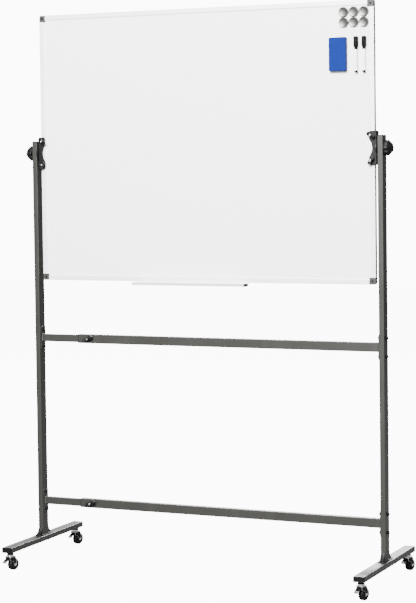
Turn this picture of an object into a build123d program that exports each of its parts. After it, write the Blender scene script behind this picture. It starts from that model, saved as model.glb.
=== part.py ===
from build123d import *
import os
from math import cos, radians, sin

os.makedirs("parts", exist_ok=True)

# Rolling double-sided whiteboard.  Millimetres, +Z up, +X across the width,
# the writing side that carries the tray faces -Y.  The origin is on the floor
# under the middle of the stand.

# ---- board ----
board_width = 1200.0
board_height = 900.0
board_centre_z = 1412.0
rail_size = 16.0            # face width and depth of the aluminium edge rail
rail_lip = 3.0              # thickness of the rail's front and back lips
rail_round = 1.0
groove_width = 0.8          # shadow line cut along both edges of the rail face
groove_depth = 0.6
groove_inset = 1.8
corner_size = 22.0
corner_proud = 0.4          # how far a corner piece stands out of the rail faces
corner_round = 6.0
corner_edge = 0.8
sheet_thickness = 0.4
panel_thickness = rail_size - 2 * rail_lip
core_thickness = panel_thickness - 2 * sheet_thickness
panel_width = board_width - 2 * rail_lip
panel_height = board_height - 2 * rail_lip
board_face_y = -panel_thickness / 2

# ---- stand ----
tube_wide = 38.0
tube_narrow = 18.0
tube_wall = 1.5
tube_round = 2.0
upright_inner_x = 612.0
upright_outer_x = upright_inner_x + tube_narrow
upright_x = upright_inner_x + tube_narrow / 2
upright_top = 1436.0
cap_head = 2.0
cap_plug = 14.0
cap_edge = 0.8
cap_plug_gap = 0.4          # play of a cap's plug inside its tube
foot_bottom = 62.0
foot_top = foot_bottom + tube_narrow
foot_length = 506.0
shoe_plate = 3.0
shoe_length = 80.0
shoe_width = 26.0
shoe_corner = 4.0
gusset_width = 14.0
gusset_height = 28.0
gusset_toe = 3.0
upright_bottom = foot_top + shoe_plate
foot_bolt_y = 28.0
foot_bolt_radius = 4.0
foot_bolt_head = 5.3
foot_bolt_head_radius = 7.5
foot_bolt_recess = 0.2      # how far the bolt's end stays under the shoe's top
hole_clearance = 0.1
close_fit = 0.01            # radial gap of parts that are pressed or screwed together
running_gap = 0.05          # radial gap of parts that turn on each other

# ---- telescopic crossbars ----
crossbar_heights = {"upper": 763.0, "lower": 200.0}
outer_tall = 30.0
outer_deep = 20.0
inner_tall = 25.0
inner_deep = 15.0
outer_start_x = -468.0
tube_overlap = 120.0
sleeve_length = 28.0
sleeve_head = 1.5
sleeve_outer_play = 0.2
sleeve_inner_play = 0.1
sleeve_corner = 0.6
flange_thickness = 3.0
flange_tall = 80.0
flange_deep = 30.0
flange_corner = 5.0
flange_face_x = upright_inner_x - flange_thickness
flange_bolt_pitch = 60.0
flange_bolt_radius = 3.0
flange_bolt_head_radius = 5.5
flange_bolt_head_length = 6.5
flange_bolt_tip = 2.0       # how far a bolt stands out of its nut
hex_socket_radius = 2.9
hex_socket_floor = 3.0
flange_nut_radius = 6.0
flange_nut_length = 5.0
lock_x = -428.0
lock_nut_radius = 8.0
lock_nut_length = 5.0

# ---- pivots, clamps and knobs ----
pivot_z = 1395.0
clamp_half_height = 54.0
clamp_plate = 3.0
clamp_spine_x = 604.5
clamp_flange_end_x = 583.0
clamp_waist_x = 593.0
clamp_front_y = -14.0
clamp_back_y = 13.0
clamp_hub_radius = 26.0
clamp_hub_end_x = 610.7
clamp_pad_height = 22.0
clamp_pad_margin = 1.0
clamp_pad_corner = 2.0
clamp_jaw_height = 26.0     # straight height of a jaw before the waist begins
clamp_jaw_corner = 6.0
clamp_spine_round = 2.0
clamp_screw_x = 590.5
clamp_screw_offset = 40.0
pivot_bolt_radius = 4.0
pivot_bolt_head_radius = 10.0
pivot_bolt_head = 3.6
pivot_bolt_end_x = 648.0
bush_radius = 7.0
bush_flange_radius = 13.0
bush_flange = 1.0
knob_radius = 25.0
knob_grip = 14.0
knob_length = 25.0
knob_nose_radius = 13.0
knob_lobes = 8
knob_flute_radius = 6.0
knob_flute_offset = 3.2     # flute centres lie this far outside the grip
knob_first_flute = 22.5
knob_insert_radius = 8.0
knob_insert_proud = 1.0     # how far the insert passes the bolt's end
knob_gap = 0.3

# ---- wing screws ----
wing_screw_radius = 3.0
wing_hub_radius = 6.0
wing_thickness = 5.0
wing_hub_length = 10.0
wing_lift = 2.0             # gap between the hub's start and the wing
wing_lobe_radius = 7.0
wing_web = 7.0
wing_edge = 1.0
wing_button_radius = 4.5
wing_button = 1.5
clamp_wing_half_span = 15.0
clamp_wing_stand_off = 3.0
crossbar_wing_half_span = 20.0
crossbar_wing_stand_off = 0.5
wing_tilts = {"clamp_upper": -35.0, "clamp_lower": 60.0,
              "crossbar_upper": 28.0, "crossbar_lower": 20.0}

# ---- pen tray ----
tray_length = 400.0
tray_centre_x = -40.0
tray_wall = 1.5
tray_depth = 10.0
tray_front_y = -46.0
tray_floor_front_y = -42.0
tray_floor_back_y = -14.0
tray_back_y = -10.0
tray_tab_back_y = 7.0
tray_lip_drop = 1.0
tray_cap_thickness = 3.0
tray_cap_proud = 1.5        # how far an end cap stands outside the trough
tray_cap_slope = 4.0
tray_cap_drop = 3.0
tray_cap_edge = 0.7
tray_screw_share = 0.4      # outer tray screws, as a share of the length from the middle
frame_screw_radius = 2.0
frame_screw_head_radius = 3.6
frame_screw_head = 1.2
frame_screw_clearance = 0.5

# ---- casters ----
caster_y = 230.0
caster_turn = -15.0
caster_trail = 13.0
wheel_radius = 20.0
wheel_width = 18.0
wheel_hub_radius = 13.0
tyre_shoulder = 3.5
wheel_recess = 3.0
wheel_rim = 1.5             # width of the centre moulding's raised rim
wheel_boss = 3.0            # width of its boss round the axle
axle_radius = 3.0
axle_rivet_flange = 1.8
axle_rivet_head = 1.5
stem_clearance = 0.3
free_fit = 0.08             # radial gap of the caster's running parts
socket_radius = 11.0
socket_length = 8.0
stem_radius = 4.0
stem_top = 75.0
race_radius = 11.5
race_bottom = 49.2
fork_plate_top = 48.9
fork_plate_bottom = 46.9
fork_plate_half_length = 12.0
fork_leg_inner = 9.8
fork_leg_outer = 11.3
fork_plate_corner = 3.0
fork_eye_radius = 6.0
# Outline of a fork leg, (along the trail, height): the front arc's middle, the
# back arc's middle, the back arc's end and the foot of the straight back edge.
fork_front_arc = (18.0, 36.0)
fork_back_arc = (2.0, 31.0)
fork_back_end = (-8.0, 33.5)
fork_back_foot = 38.0
rivet_radius = 7.0
rivet_bottom = 44.6
pedal_pin = (-8.0, 38.0)
pedal_pin_radius = 2.0
pedal_barrel_radius = 3.6
pedal_half_width = 9.0
pedal_bore_gap = 0.06
# Side outline of the pedal's lever and its cam circles, measured from the pin.
pedal_lever = [(1.0, 3.0), (-14.0, -3.5), (-21.5, -10.0), (-23.0, -8.2), (-15.0, -0.5), (0.5, 4.5)]
pedal_cam_centres = [(1.6, -4.0), (0.6, -2.2)]
pedal_cam_radius = 2.6

# ---- things that stay on the board ----
magnet_radius = 16.3
magnet_thickness = 7.0
magnet_edge = 1.2
magnet_columns = (499.0, 533.0, 567.0)
magnet_rows = (414.0, 381.0)
eraser_width = 59.0
eraser_height = 108.0
eraser_depth = 16.0
eraser_corner = 5.0
eraser_edge = 3.0
eraser_x = 481.0
eraser_above_centre = 281.0
board_gap = 0.3
marker_positions = {"left": 541.0, "right": 568.0}
marker_above_centre = 279.0
marker_length = 114.0
marker_radius = 5.5
marker_neck_radius = 4.6
marker_cap_radius = 7.5
marker_collar_radius = 5.4
marker_cap_length = 42.0
marker_collar_length = 10.0
marker_plug_length = 6.0
marker_plug_edge = 1.5
marker_nib_radius = 2.0
marker_nib_length = 8.0
marker_nib_room_radius = 3.0
marker_nib_room_length = 12.0
marker_neck_room = 1.0
marker_flutes = 12
marker_flute_radius = 1.0
marker_flute_offset = 0.4


sides = {"left": -1, "right": 1}
ends = {"front": -1, "back": 1}


def save(part, name):
    """Writes one node's file."""
    part.label = name
    export_step(part, f"parts/{name}.step")


def group(pieces):
    """Separate solids that touch, kept apart in one node."""
    return Compound(children=pieces)


def across(x, y, z, side=1):
    """Plane at a point whose normal points along +X, or -X for the left side."""
    return Plane(origin=(x, y, z), x_dir=(0, 1, 0), z_dir=(side, 0, 0))


def facing_front(x, y, z):
    """Plane at a point whose normal points to the front, its x along +X."""
    return Plane(origin=(x, y, z), x_dir=(1, 0, 0), z_dir=(0, -1, 0))


# ---------------------------------------------------------------- tubes

def make_tube(plane, wide, narrow, length):
    """Rectangular tube that starts on a plane and runs along its normal."""
    with BuildPart() as tube:
        with BuildSketch(plane):
            RectangleRounded(wide, narrow, tube_round)
            RectangleRounded(wide - 2 * tube_wall, narrow - 2 * tube_wall,
                             tube_round - tube_wall, mode=Mode.SUBTRACT)
        extrude(amount=length)
    return tube.part


def make_end_plug(plane, wide, narrow):
    """Moulded cap: a head over the tube's end and a plug inside it."""
    with BuildPart() as plug:
        with BuildSketch(plane):
            RectangleRounded(wide, narrow, tube_round)
        extrude(amount=cap_head)
        fillet(plug.faces().sort_by(Axis(plane.origin, plane.z_dir))[-1].edges(), cap_edge)
        with BuildSketch(plane):
            Rectangle(wide - 2 * tube_wall - cap_plug_gap, narrow - 2 * tube_wall - cap_plug_gap)
        extrude(amount=-cap_plug)
    return plug.part


def make_upright(side):
    """Upright tube, drilled for its pivot bush and the crossbar bolts."""
    bottom = Plane.XY.offset(upright_bottom).shift_origin((side * upright_x, 0, upright_bottom))
    body = make_tube(bottom, tube_narrow, tube_wide, upright_top - cap_head - upright_bottom)
    bolt_heights = [height + step * flange_bolt_pitch / 2
                    for height in crossbar_heights.values() for step in (-1, 1)]
    with BuildPart() as upright:
        add(body)
        with Locations(across(side * upright_x, 0, pivot_z)):
            Hole(bush_radius + running_gap, depth=tube_narrow)
        for height in bolt_heights:
            with Locations(across(side * upright_x, 0, height)):
                Hole(flange_bolt_radius + hole_clearance, depth=tube_narrow)
    return upright.part


def make_foot(side):
    """Foot tube, drilled through for its shoe bolts and from below for the stems."""
    x = side * upright_x
    tube_end = foot_length / 2 - cap_head
    middle_z = (foot_bottom + foot_top) / 2
    start = Plane(origin=(x, -tube_end, middle_z), x_dir=(1, 0, 0), z_dir=(0, 1, 0))
    body = make_tube(start, tube_wide, tube_narrow, 2 * tube_end)
    with BuildPart() as foot:
        add(body)
        with BuildSketch(Plane.XY.offset(foot_bottom)):
            with Locations((x, -foot_bolt_y), (x, foot_bolt_y)):
                Circle(foot_bolt_radius + hole_clearance)
        extrude(amount=tube_narrow, mode=Mode.SUBTRACT)
        with BuildSketch(Plane.XY.offset(foot_bottom)):
            with Locations((x, -caster_y), (x, caster_y)):
                Circle(stem_radius + hole_clearance)
        extrude(amount=tube_narrow / 2, mode=Mode.SUBTRACT)
    return foot.part


for side_name, side in sides.items():
    save(make_upright(side), f"upright_{side_name}")
    save(make_foot(side), f"foot_{side_name}")

with BuildPart() as tube_end_caps:
    for side in sides.values():
        top = Plane(origin=(side * upright_x, 0, upright_top - cap_head), z_dir=(0, 0, 1))
        add(make_end_plug(top, tube_narrow, tube_wide))
        for end in ends.values():
            mouth = Plane(origin=(side * upright_x, end * (foot_length / 2 - cap_head),
                                  (foot_bottom + foot_top) / 2),
                          x_dir=(1, 0, 0), z_dir=(0, end, 0))
            add(make_end_plug(mouth, tube_wide, tube_narrow))
save(tube_end_caps.part, "tube_end_caps")


def make_shoe(side):
    """Weld plate on top of a foot, with a gusset in front of and behind the upright."""
    x = side * upright_x
    tube_face = tube_wide / 2
    toe = shoe_length / 2
    with BuildPart() as shoe:
        with BuildSketch(Plane.XY.offset(foot_top)):
            with Locations((x, 0)):
                RectangleRounded(shoe_width, shoe_length, shoe_corner)
        extrude(amount=shoe_plate)
        for end in ends.values():
            with BuildSketch(across(x - gusset_width / 2, 0, 0)):
                with BuildLine():
                    Polyline((end * tube_face, upright_bottom), (end * toe, upright_bottom),
                             (end * toe, upright_bottom + gusset_toe),
                             (end * tube_face, upright_bottom + gusset_height), close=True)
                make_face()
            extrude(amount=gusset_width)
        with BuildSketch(Plane.XY.offset(foot_top)):
            with Locations((x, -foot_bolt_y), (x, foot_bolt_y)):
                Circle(foot_bolt_radius + hole_clearance)
        extrude(amount=shoe_plate, mode=Mode.SUBTRACT)
    return shoe.part


with BuildPart() as foot_shoes:
    for side in sides.values():
        add(make_shoe(side))
save(foot_shoes.part, "foot_shoes")

with BuildPart() as foot_bolts:
    for side in sides.values():
        seats = [(side * upright_x, end * foot_bolt_y) for end in ends.values()]
        with BuildSketch(Plane.XY.offset(foot_bottom - foot_bolt_head)):
            with Locations(*seats):
                RegularPolygon(foot_bolt_head_radius, 6)
        extrude(amount=foot_bolt_head)
        with BuildSketch(Plane.XY.offset(foot_bottom)):
            with Locations(*seats):
                Circle(foot_bolt_radius)
        extrude(amount=foot_top + shoe_plate - foot_bottom - foot_bolt_recess)
save(foot_bolts.part, "foot_bolts")

# ---------------------------------------------------------------- crossbars

for bar_name, bar_z in crossbar_heights.items():
    outer_mouth = across(outer_start_x, 0, bar_z)
    outer_tube = make_tube(outer_mouth, outer_deep, outer_tall, flange_face_x - outer_start_x)
    with BuildPart() as crossbar_outer:
        add(outer_tube)
        with BuildSketch(facing_front(lock_x, 0, bar_z)):
            Circle(wing_screw_radius + hole_clearance)
        extrude(amount=outer_deep, mode=Mode.SUBTRACT)
    save(crossbar_outer.part, f"crossbar_outer_{bar_name}")

    inner_start = across(-flange_face_x, 0, bar_z)
    inner_length = outer_start_x + tube_overlap + flange_face_x
    save(make_tube(inner_start, inner_deep, inner_tall, inner_length), f"crossbar_inner_{bar_name}")

sleeve_deep = outer_deep - 2 * tube_wall - sleeve_outer_play
sleeve_tall = outer_tall - 2 * tube_wall - sleeve_outer_play
bore_deep = inner_deep + sleeve_inner_play
bore_tall = inner_tall + sleeve_inner_play
with BuildPart() as crossbar_sleeves:
    for bar_z in crossbar_heights.values():
        with BuildSketch(across(outer_start_x, 0, bar_z)):
            RectangleRounded(sleeve_deep, sleeve_tall, sleeve_corner)
            RectangleRounded(bore_deep, bore_tall, tube_round, mode=Mode.SUBTRACT)
        extrude(amount=sleeve_length)
        with BuildSketch(across(outer_start_x - sleeve_head, 0, bar_z)):
            RectangleRounded(outer_deep, outer_tall, tube_round)
            RectangleRounded(bore_deep, bore_tall, tube_round, mode=Mode.SUBTRACT)
        extrude(amount=sleeve_head)
save(crossbar_sleeves.part, "crossbar_sleeves")

with BuildPart() as crossbar_lock_nuts:
    for bar_z in crossbar_heights.values():
        with BuildSketch(facing_front(lock_x, -outer_deep / 2, bar_z)):
            RegularPolygon(lock_nut_radius, 6)
            Circle(wing_screw_radius + running_gap, mode=Mode.SUBTRACT)
        extrude(amount=lock_nut_length)
save(crossbar_lock_nuts.part, "crossbar_lock_nuts")

with BuildPart() as crossbar_flanges:
    for side in sides.values():
        for bar_z in crossbar_heights.values():
            with BuildSketch(across(side * flange_face_x, 0, bar_z, side)):
                RectangleRounded(flange_deep, flange_tall, flange_corner)
                with GridLocations(0, flange_bolt_pitch, 1, 2):
                    Circle(flange_bolt_radius + hole_clearance, mode=Mode.SUBTRACT)
            extrude(amount=flange_thickness)
save(crossbar_flanges.part, "crossbar_flanges")

flange_shank = upright_outer_x - flange_face_x + flange_nut_length + flange_bolt_tip
with BuildPart() as flange_bolts:
    for side in sides.values():
        for bar_z in crossbar_heights.values():
            head_face = across(side * upright_outer_x, 0, bar_z, side)
            with BuildSketch(head_face):
                with GridLocations(0, flange_bolt_pitch, 1, 2):
                    Circle(flange_bolt_head_radius)
            extrude(amount=flange_bolt_head_length)
            with BuildSketch(head_face.offset(hex_socket_floor)):
                with GridLocations(0, flange_bolt_pitch, 1, 2):
                    RegularPolygon(hex_socket_radius, 6)
            extrude(amount=flange_bolt_head_length, mode=Mode.SUBTRACT)
            with BuildSketch(head_face.offset(-flange_shank)):
                with GridLocations(0, flange_bolt_pitch, 1, 2):
                    Circle(flange_bolt_radius)
            extrude(amount=flange_shank)
save(flange_bolts.part, "flange_bolts")

with BuildPart() as flange_nuts:
    for side in sides.values():
        for bar_z in crossbar_heights.values():
            with BuildSketch(across(side * flange_face_x, 0, bar_z, -side)):
                with GridLocations(0, flange_bolt_pitch, 1, 2):
                    RegularPolygon(flange_nut_radius, 6)
                    Circle(flange_bolt_radius + close_fit, mode=Mode.SUBTRACT)
            extrude(amount=flange_nut_length)
save(flange_nuts.part, "flange_nuts")


def make_wing_screw(plane, tip_depth, half_span):
    """Two solids: a steel screw along the plane's normal, and its moulded wing.

    The plane lies where the wing's hub starts, and the screw reaches tip_depth
    behind it."""
    with BuildPart() as wing:
        with BuildSketch(plane):
            Circle(wing_hub_radius)
        extrude(amount=wing_hub_length)
        lobe_x = half_span - wing_lobe_radius
        with BuildSketch(plane.offset(wing_lift)):
            with Locations((-lobe_x, 0), (lobe_x, 0)):
                Circle(wing_lobe_radius)
            Rectangle(2 * lobe_x, wing_web)
        extrude(amount=wing_thickness)
        fillet(wing.edges().filter_by(GeomType.CIRCLE).group_by(Edge.length)[-1], wing_edge)
        with BuildSketch(plane):
            Circle(wing_screw_radius + close_fit)
        extrude(amount=wing_hub_length, mode=Mode.SUBTRACT)
    with BuildPart() as screw:
        with BuildSketch(plane.offset(-tip_depth)):
            Circle(wing_screw_radius)
        extrude(amount=tip_depth + wing_hub_length)
        with BuildSketch(plane.offset(wing_hub_length)):
            Circle(wing_button_radius)
        extrude(amount=wing_button)
    return [wing.part, screw.part]


def tilted_front_plane(x, y, z, tilt):
    """As facing_front, with the plane's x raised by tilt degrees."""
    along = (cos(radians(tilt)), 0, sin(radians(tilt)))
    return Plane(origin=(x, y, z), x_dir=along, z_dir=(0, -1, 0))


crossbar_wing_y = -outer_deep / 2 - lock_nut_length - crossbar_wing_stand_off
for bar_name, bar_z in crossbar_heights.items():
    tilt = wing_tilts[f"crossbar_{bar_name}"]
    hub_plane = tilted_front_plane(lock_x, crossbar_wing_y, bar_z, tilt)
    tip_depth = -crossbar_wing_y - inner_deep / 2 - board_gap
    save(group(make_wing_screw(hub_plane, tip_depth, crossbar_wing_half_span)),
         f"crossbar_screw_{bar_name}")

# ---------------------------------------------------------------- board panel

with BuildPart() as board_core:
    with BuildSketch(facing_front(0, core_thickness / 2, board_centre_z)):
        Rectangle(panel_width, panel_height)
    extrude(amount=core_thickness)
save(board_core.part, "board_core")

for face_name, face in ends.items():
    near = min(face * core_thickness / 2, face * panel_thickness / 2)
    with BuildPart() as sheet:
        with BuildSketch(facing_front(0, near + sheet_thickness, board_centre_z)):
            Rectangle(panel_width, panel_height)
        extrude(amount=sheet_thickness)
    save(sheet.part, f"writing_sheet_{face_name}")


def make_rail(plane, length):
    """U-shaped rail.  In the plane, +x points into the board and y is the depth."""
    half = rail_size / 2
    with BuildPart() as rail:
        with BuildSketch(plane):
            with Locations((half, 0)):
                RectangleRounded(rail_size, rail_size, rail_round)
            with Locations((rail_lip + rail_size / 2, 0)):
                Rectangle(rail_size, panel_thickness, mode=Mode.SUBTRACT)
            with Locations(*[(x, y) for x in (groove_inset, rail_size - groove_inset)
                             for y in (-half, half)]):
                Rectangle(groove_width, 2 * groove_depth, mode=Mode.SUBTRACT)
        extrude(amount=length)
    return rail.part


rail_run_x = board_width - 2 * corner_size
rail_run_z = board_height - 2 * corner_size
board_bottom_z = board_centre_z - board_height / 2
board_top_z = board_centre_z + board_height / 2
rail_planes = {
    "top": Plane(origin=(-rail_run_x / 2, 0, board_top_z), x_dir=(0, 0, -1), z_dir=(1, 0, 0)),
    "bottom": Plane(origin=(-rail_run_x / 2, 0, board_bottom_z), x_dir=(0, 0, 1), z_dir=(1, 0, 0)),
    "left": Plane(origin=(-board_width / 2, 0, board_centre_z - rail_run_z / 2),
                  x_dir=(1, 0, 0), z_dir=(0, 0, 1)),
    "right": Plane(origin=(board_width / 2, 0, board_centre_z - rail_run_z / 2),
                   x_dir=(-1, 0, 0), z_dir=(0, 0, 1)),
}
for rail_name, rail_plane in rail_planes.items():
    run = rail_run_x if rail_name in ("top", "bottom") else rail_run_z
    save(make_rail(rail_plane, run), f"frame_rail_{rail_name}")

corner_depth = rail_size + 2 * corner_proud


def make_corner(side, level):
    """Moulded corner piece with one large outer round and a slot for the panel."""
    middle_x = side * (board_width - corner_size) / 2
    middle_z = board_centre_z + level * (board_height - corner_size) / 2
    inward_x = middle_x - side * rail_lip
    inward_z = middle_z - level * rail_lip
    with BuildPart() as corner:
        with BuildSketch(facing_front(middle_x, corner_depth / 2, middle_z)):
            Rectangle(corner_size, corner_size)
        extrude(amount=corner_depth)
        outer_edge = corner.edges().filter_by(Axis.Y).sort_by(
            lambda edge: side * edge.center().X + level * edge.center().Z)[-1]
        fillet(outer_edge, corner_round)
        fillet(corner.faces().filter_by(Axis.Y).edges(), corner_edge)
        with BuildSketch(facing_front(inward_x, panel_thickness / 2, inward_z)):
            Rectangle(corner_size, corner_size)
        extrude(amount=panel_thickness, mode=Mode.SUBTRACT)
        with Locations(facing_front(middle_x, 0, middle_z)):
            Hole(frame_screw_radius + frame_screw_clearance, depth=corner_depth)
    return corner.part


with BuildPart() as frame_corners:
    for side in sides.values():
        for level in (-1, 1):
            add(make_corner(side, level))
save(frame_corners.part, "frame_corners")

# ---------------------------------------------------------------- pen tray

tray_top_z = board_bottom_z
tray_low_z = tray_top_z - tray_depth
tray_screw_x = [tray_centre_x + step * tray_length * tray_screw_share for step in (-1, 0, 1)]
with BuildPart() as pen_tray:
    with BuildSketch(across(tray_centre_x - tray_length / 2, 0, 0)):
        with BuildLine():
            Polyline((tray_tab_back_y, tray_top_z - tray_wall / 2),
                     (tray_back_y, tray_top_z - tray_wall / 2),
                     (tray_floor_back_y, tray_low_z), (tray_floor_front_y, tray_low_z),
                     (tray_front_y, tray_top_z - tray_lip_drop))
        trace(line_width=tray_wall)
    extrude(amount=tray_length)
    with BuildSketch(Plane.XY.offset(tray_top_z - 2 * tray_wall)):
        with Locations(*[(x, 0) for x in tray_screw_x]):
            Circle(frame_screw_radius + hole_clearance)
    extrude(amount=3 * tray_wall, mode=Mode.SUBTRACT)
save(pen_tray.part, "pen_tray")

with BuildPart() as tray_end_caps:
    for side in sides.values():
        with BuildSketch(across(tray_centre_x + side * tray_length / 2, 0, 0)):
            with BuildLine():
                Polyline((tray_back_y, tray_top_z - tray_wall),
                         (tray_floor_back_y, tray_low_z - tray_cap_proud),
                         (tray_floor_front_y, tray_low_z - tray_cap_proud),
                         (tray_front_y - tray_cap_proud, tray_top_z),
                         (tray_back_y - tray_cap_slope, tray_top_z - tray_cap_drop),
                         close=True)
            make_face()
        extrude(amount=side * tray_cap_thickness)
        fillet(tray_end_caps.faces().sort_by(Axis.X)[0 if side < 0 else -1].edges(), tray_cap_edge)
save(tray_end_caps.part, "tray_end_caps")

with BuildPart() as frame_screws:
    for side in sides.values():
        for level in (-1, 1):
            seat_x = side * (board_width - corner_size) / 2
            seat_z = board_centre_z + level * (board_height - corner_size) / 2
            for face in ends.values():
                seat = Plane(origin=(seat_x, face * corner_depth / 2, seat_z),
                             x_dir=(1, 0, 0), z_dir=(0, face, 0))
                with BuildSketch(seat):
                    Circle(frame_screw_head_radius)
                extrude(amount=frame_screw_head)
                with BuildSketch(seat):
                    Circle(frame_screw_radius)
                extrude(amount=-(corner_depth - panel_thickness) / 2)
    with BuildSketch(Plane.XY.offset(tray_top_z - tray_wall)):
        with Locations(*[(x, 0) for x in tray_screw_x]):
            Circle(frame_screw_head_radius)
    extrude(amount=-frame_screw_head)
    with BuildSketch(Plane.XY.offset(tray_top_z - tray_wall)):
        with Locations(*[(x, 0) for x in tray_screw_x]):
            Circle(frame_screw_radius)
    extrude(amount=tray_wall)
save(frame_screws.part, "frame_screws")

# ---------------------------------------------------------------- clamps and pivots

def clamp_outline(side):
    """Waisted flange of a clamp, wide at the two jaws and narrow at the pivot."""
    outer = side * (clamp_spine_x + clamp_plate)
    end = side * clamp_flange_end_x
    waist = side * clamp_waist_x
    reach = clamp_half_height
    jaw = reach - clamp_jaw_height
    with BuildSketch(Plane.XY) as outline:
        with BuildLine():
            Line((outer, -reach), (end, -reach))
            Line((end, -reach), (end, -jaw))
            ThreePointArc((end, -jaw), (waist, 0), (end, jaw))
            Line((end, jaw), (end, reach))
            Line((end, reach), (outer, reach))
            Line((outer, reach), (outer, -reach))
        make_face()
        jaw_corners = outline.vertices().group_by(lambda v: side * v.X)[0]
        fillet([v for v in jaw_corners if abs(v.Y) > (jaw + reach) / 2], clamp_jaw_corner)
    return outline.sketch


def make_edge_clamp(side):
    """Clamp of two waisted flanges on a spine, with the hub that turns on the stand."""
    outline = clamp_outline(side)
    outer_x = side * (clamp_spine_x + clamp_plate)
    with BuildPart() as clamp:
        with BuildSketch(facing_front(0, clamp_front_y + clamp_plate, pivot_z)):
            add(outline)
        extrude(amount=clamp_plate)
        with BuildSketch(facing_front(0, clamp_back_y, pivot_z)):
            add(outline)
        extrude(amount=clamp_plate)
        with BuildSketch(across(side * clamp_spine_x, (clamp_front_y + clamp_back_y) / 2, pivot_z, side)):
            Rectangle(clamp_back_y - clamp_front_y, 2 * clamp_half_height)
        extrude(amount=clamp_plate)
        spine_edges = clamp.edges().filter_by(Axis.Z).group_by(lambda e: side * e.center().X)[-1]
        fillet(spine_edges, clamp_spine_round)
        with BuildSketch(across(outer_x, 0, pivot_z, side)):
            Circle(clamp_hub_radius)
        extrude(amount=clamp_hub_end_x - abs(outer_x))
        with BuildSketch(across(side * clamp_spine_x, 0, pivot_z, side)):
            Circle(pivot_bolt_radius + running_gap)
        extrude(amount=clamp_hub_end_x - clamp_spine_x, mode=Mode.SUBTRACT)
        with BuildSketch(facing_front(side * clamp_screw_x, clamp_front_y + clamp_plate, pivot_z)):
            with GridLocations(0, 2 * clamp_screw_offset, 1, 2):
                Circle(wing_screw_radius + running_gap)
        extrude(amount=clamp_plate, mode=Mode.SUBTRACT)
    return clamp.part


for side_name, side in sides.items():
    save(make_edge_clamp(side), f"edge_clamp_{side_name}")

rail_back_y = rail_size / 2
pad_depth = clamp_back_y - clamp_plate - rail_back_y
with BuildPart() as clamp_pads:
    for side in sides.values():
        pad_width = board_width / 2 - clamp_flange_end_x - 1.5 * clamp_pad_margin
        with BuildSketch(facing_front(side * (clamp_flange_end_x + clamp_pad_margin + pad_width / 2),
                                      clamp_back_y - clamp_plate, pivot_z)):
            with GridLocations(0, 2 * clamp_screw_offset, 1, 2):
                RectangleRounded(pad_width, clamp_pad_height, clamp_pad_corner)
        extrude(amount=pad_depth)
save(clamp_pads.part, "clamp_pads")

with BuildPart() as pivot_bolts:
    for side in sides.values():
        with BuildSketch(across(side * clamp_spine_x, 0, pivot_z, -side)):
            Circle(pivot_bolt_head_radius)
        extrude(amount=pivot_bolt_head)
        with BuildSketch(across(side * clamp_spine_x, 0, pivot_z, side)):
            Circle(pivot_bolt_radius)
        extrude(amount=pivot_bolt_end_x - clamp_spine_x)
save(pivot_bolts.part, "pivot_bolts")

with BuildPart() as pivot_bushes:
    for side in sides.values():
        for face_x, outward in ((upright_inner_x, -side), (upright_outer_x, side)):
            with BuildSketch(across(side * face_x, 0, pivot_z, outward)):
                Circle(bush_flange_radius)
            extrude(amount=bush_flange)
        with BuildSketch(across(side * upright_inner_x, 0, pivot_z, side)):
            Circle(bush_radius)
        extrude(amount=tube_narrow)
        with BuildSketch(across(side * (upright_inner_x - bush_flange), 0, pivot_z, side)):
            Circle(pivot_bolt_radius + hole_clearance)
        extrude(amount=tube_narrow + 2 * bush_flange, mode=Mode.SUBTRACT)
save(pivot_bushes.part, "pivot_bushes")


def make_knob(side):
    """Two solids: a fluted grip with a sloping nose, and its threaded insert."""
    start = upright_outer_x + bush_flange + knob_gap
    base = across(side * start, 0, pivot_z, side)
    insert_length = pivot_bolt_end_x - start + knob_insert_proud
    with BuildPart() as grip:
        with BuildSketch(base):
            Circle(knob_radius)
        extrude(amount=knob_grip)
        with BuildSketch(base.offset(knob_grip)):
            Circle(knob_radius)
        with BuildSketch(base.offset(knob_length)):
            Circle(knob_nose_radius)
        loft()
        with BuildSketch(base):
            with PolarLocations(knob_radius + knob_flute_offset, knob_lobes, knob_first_flute):
                Circle(knob_flute_radius)
        extrude(amount=knob_length, mode=Mode.SUBTRACT)
        with BuildSketch(base):
            Circle(knob_insert_radius)
        extrude(amount=insert_length, mode=Mode.SUBTRACT)
    with BuildPart() as insert:
        with BuildSketch(base):
            Circle(knob_insert_radius)
            Circle(pivot_bolt_radius + running_gap, mode=Mode.SUBTRACT)
        extrude(amount=insert_length)
    return [grip.part, insert.part]


for side_name, side in sides.items():
    save(group(make_knob(side)), f"knob_{side_name}")

clamp_wing_y = clamp_front_y - clamp_wing_stand_off
clamp_tip_depth = -clamp_wing_y - rail_size / 2 - board_gap
for side_name, side in sides.items():
    for level_name, level in (("upper", 1), ("lower", -1)):
        hub_plane = tilted_front_plane(side * clamp_screw_x, clamp_wing_y,
                                       pivot_z + level * clamp_screw_offset,
                                       wing_tilts[f"clamp_{level_name}"])
        save(group(make_wing_screw(hub_plane, clamp_tip_depth, clamp_wing_half_span)),
             f"clamp_screw_{side_name}_{level_name}")

# ---------------------------------------------------------------- casters

def caster_frame(side, end):
    """Floor plane under a stem: x along the axle, y towards the trailing wheel."""
    return Plane(origin=(side * upright_x, end * caster_y, 0), z_dir=(0, 0, 1)).rotated((0, 0, caster_turn))


def caster_side_plane(frame, x):
    """Plane square to the axle: its x runs along the trail and its y straight up."""
    origin = frame.from_local_coords((x, 0, 0))
    return Plane(origin=origin, x_dir=frame.y_dir, z_dir=frame.x_dir)


with BuildPart() as caster_sockets:
    for side in sides.values():
        with BuildSketch(Plane.XY.offset(foot_bottom - socket_length)):
            with Locations((side * upright_x, -caster_y), (side * upright_x, caster_y)):
                Circle(socket_radius)
                Circle(stem_radius + close_fit, mode=Mode.SUBTRACT)
        extrude(amount=socket_length)
save(caster_sockets.part, "caster_sockets")

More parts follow.
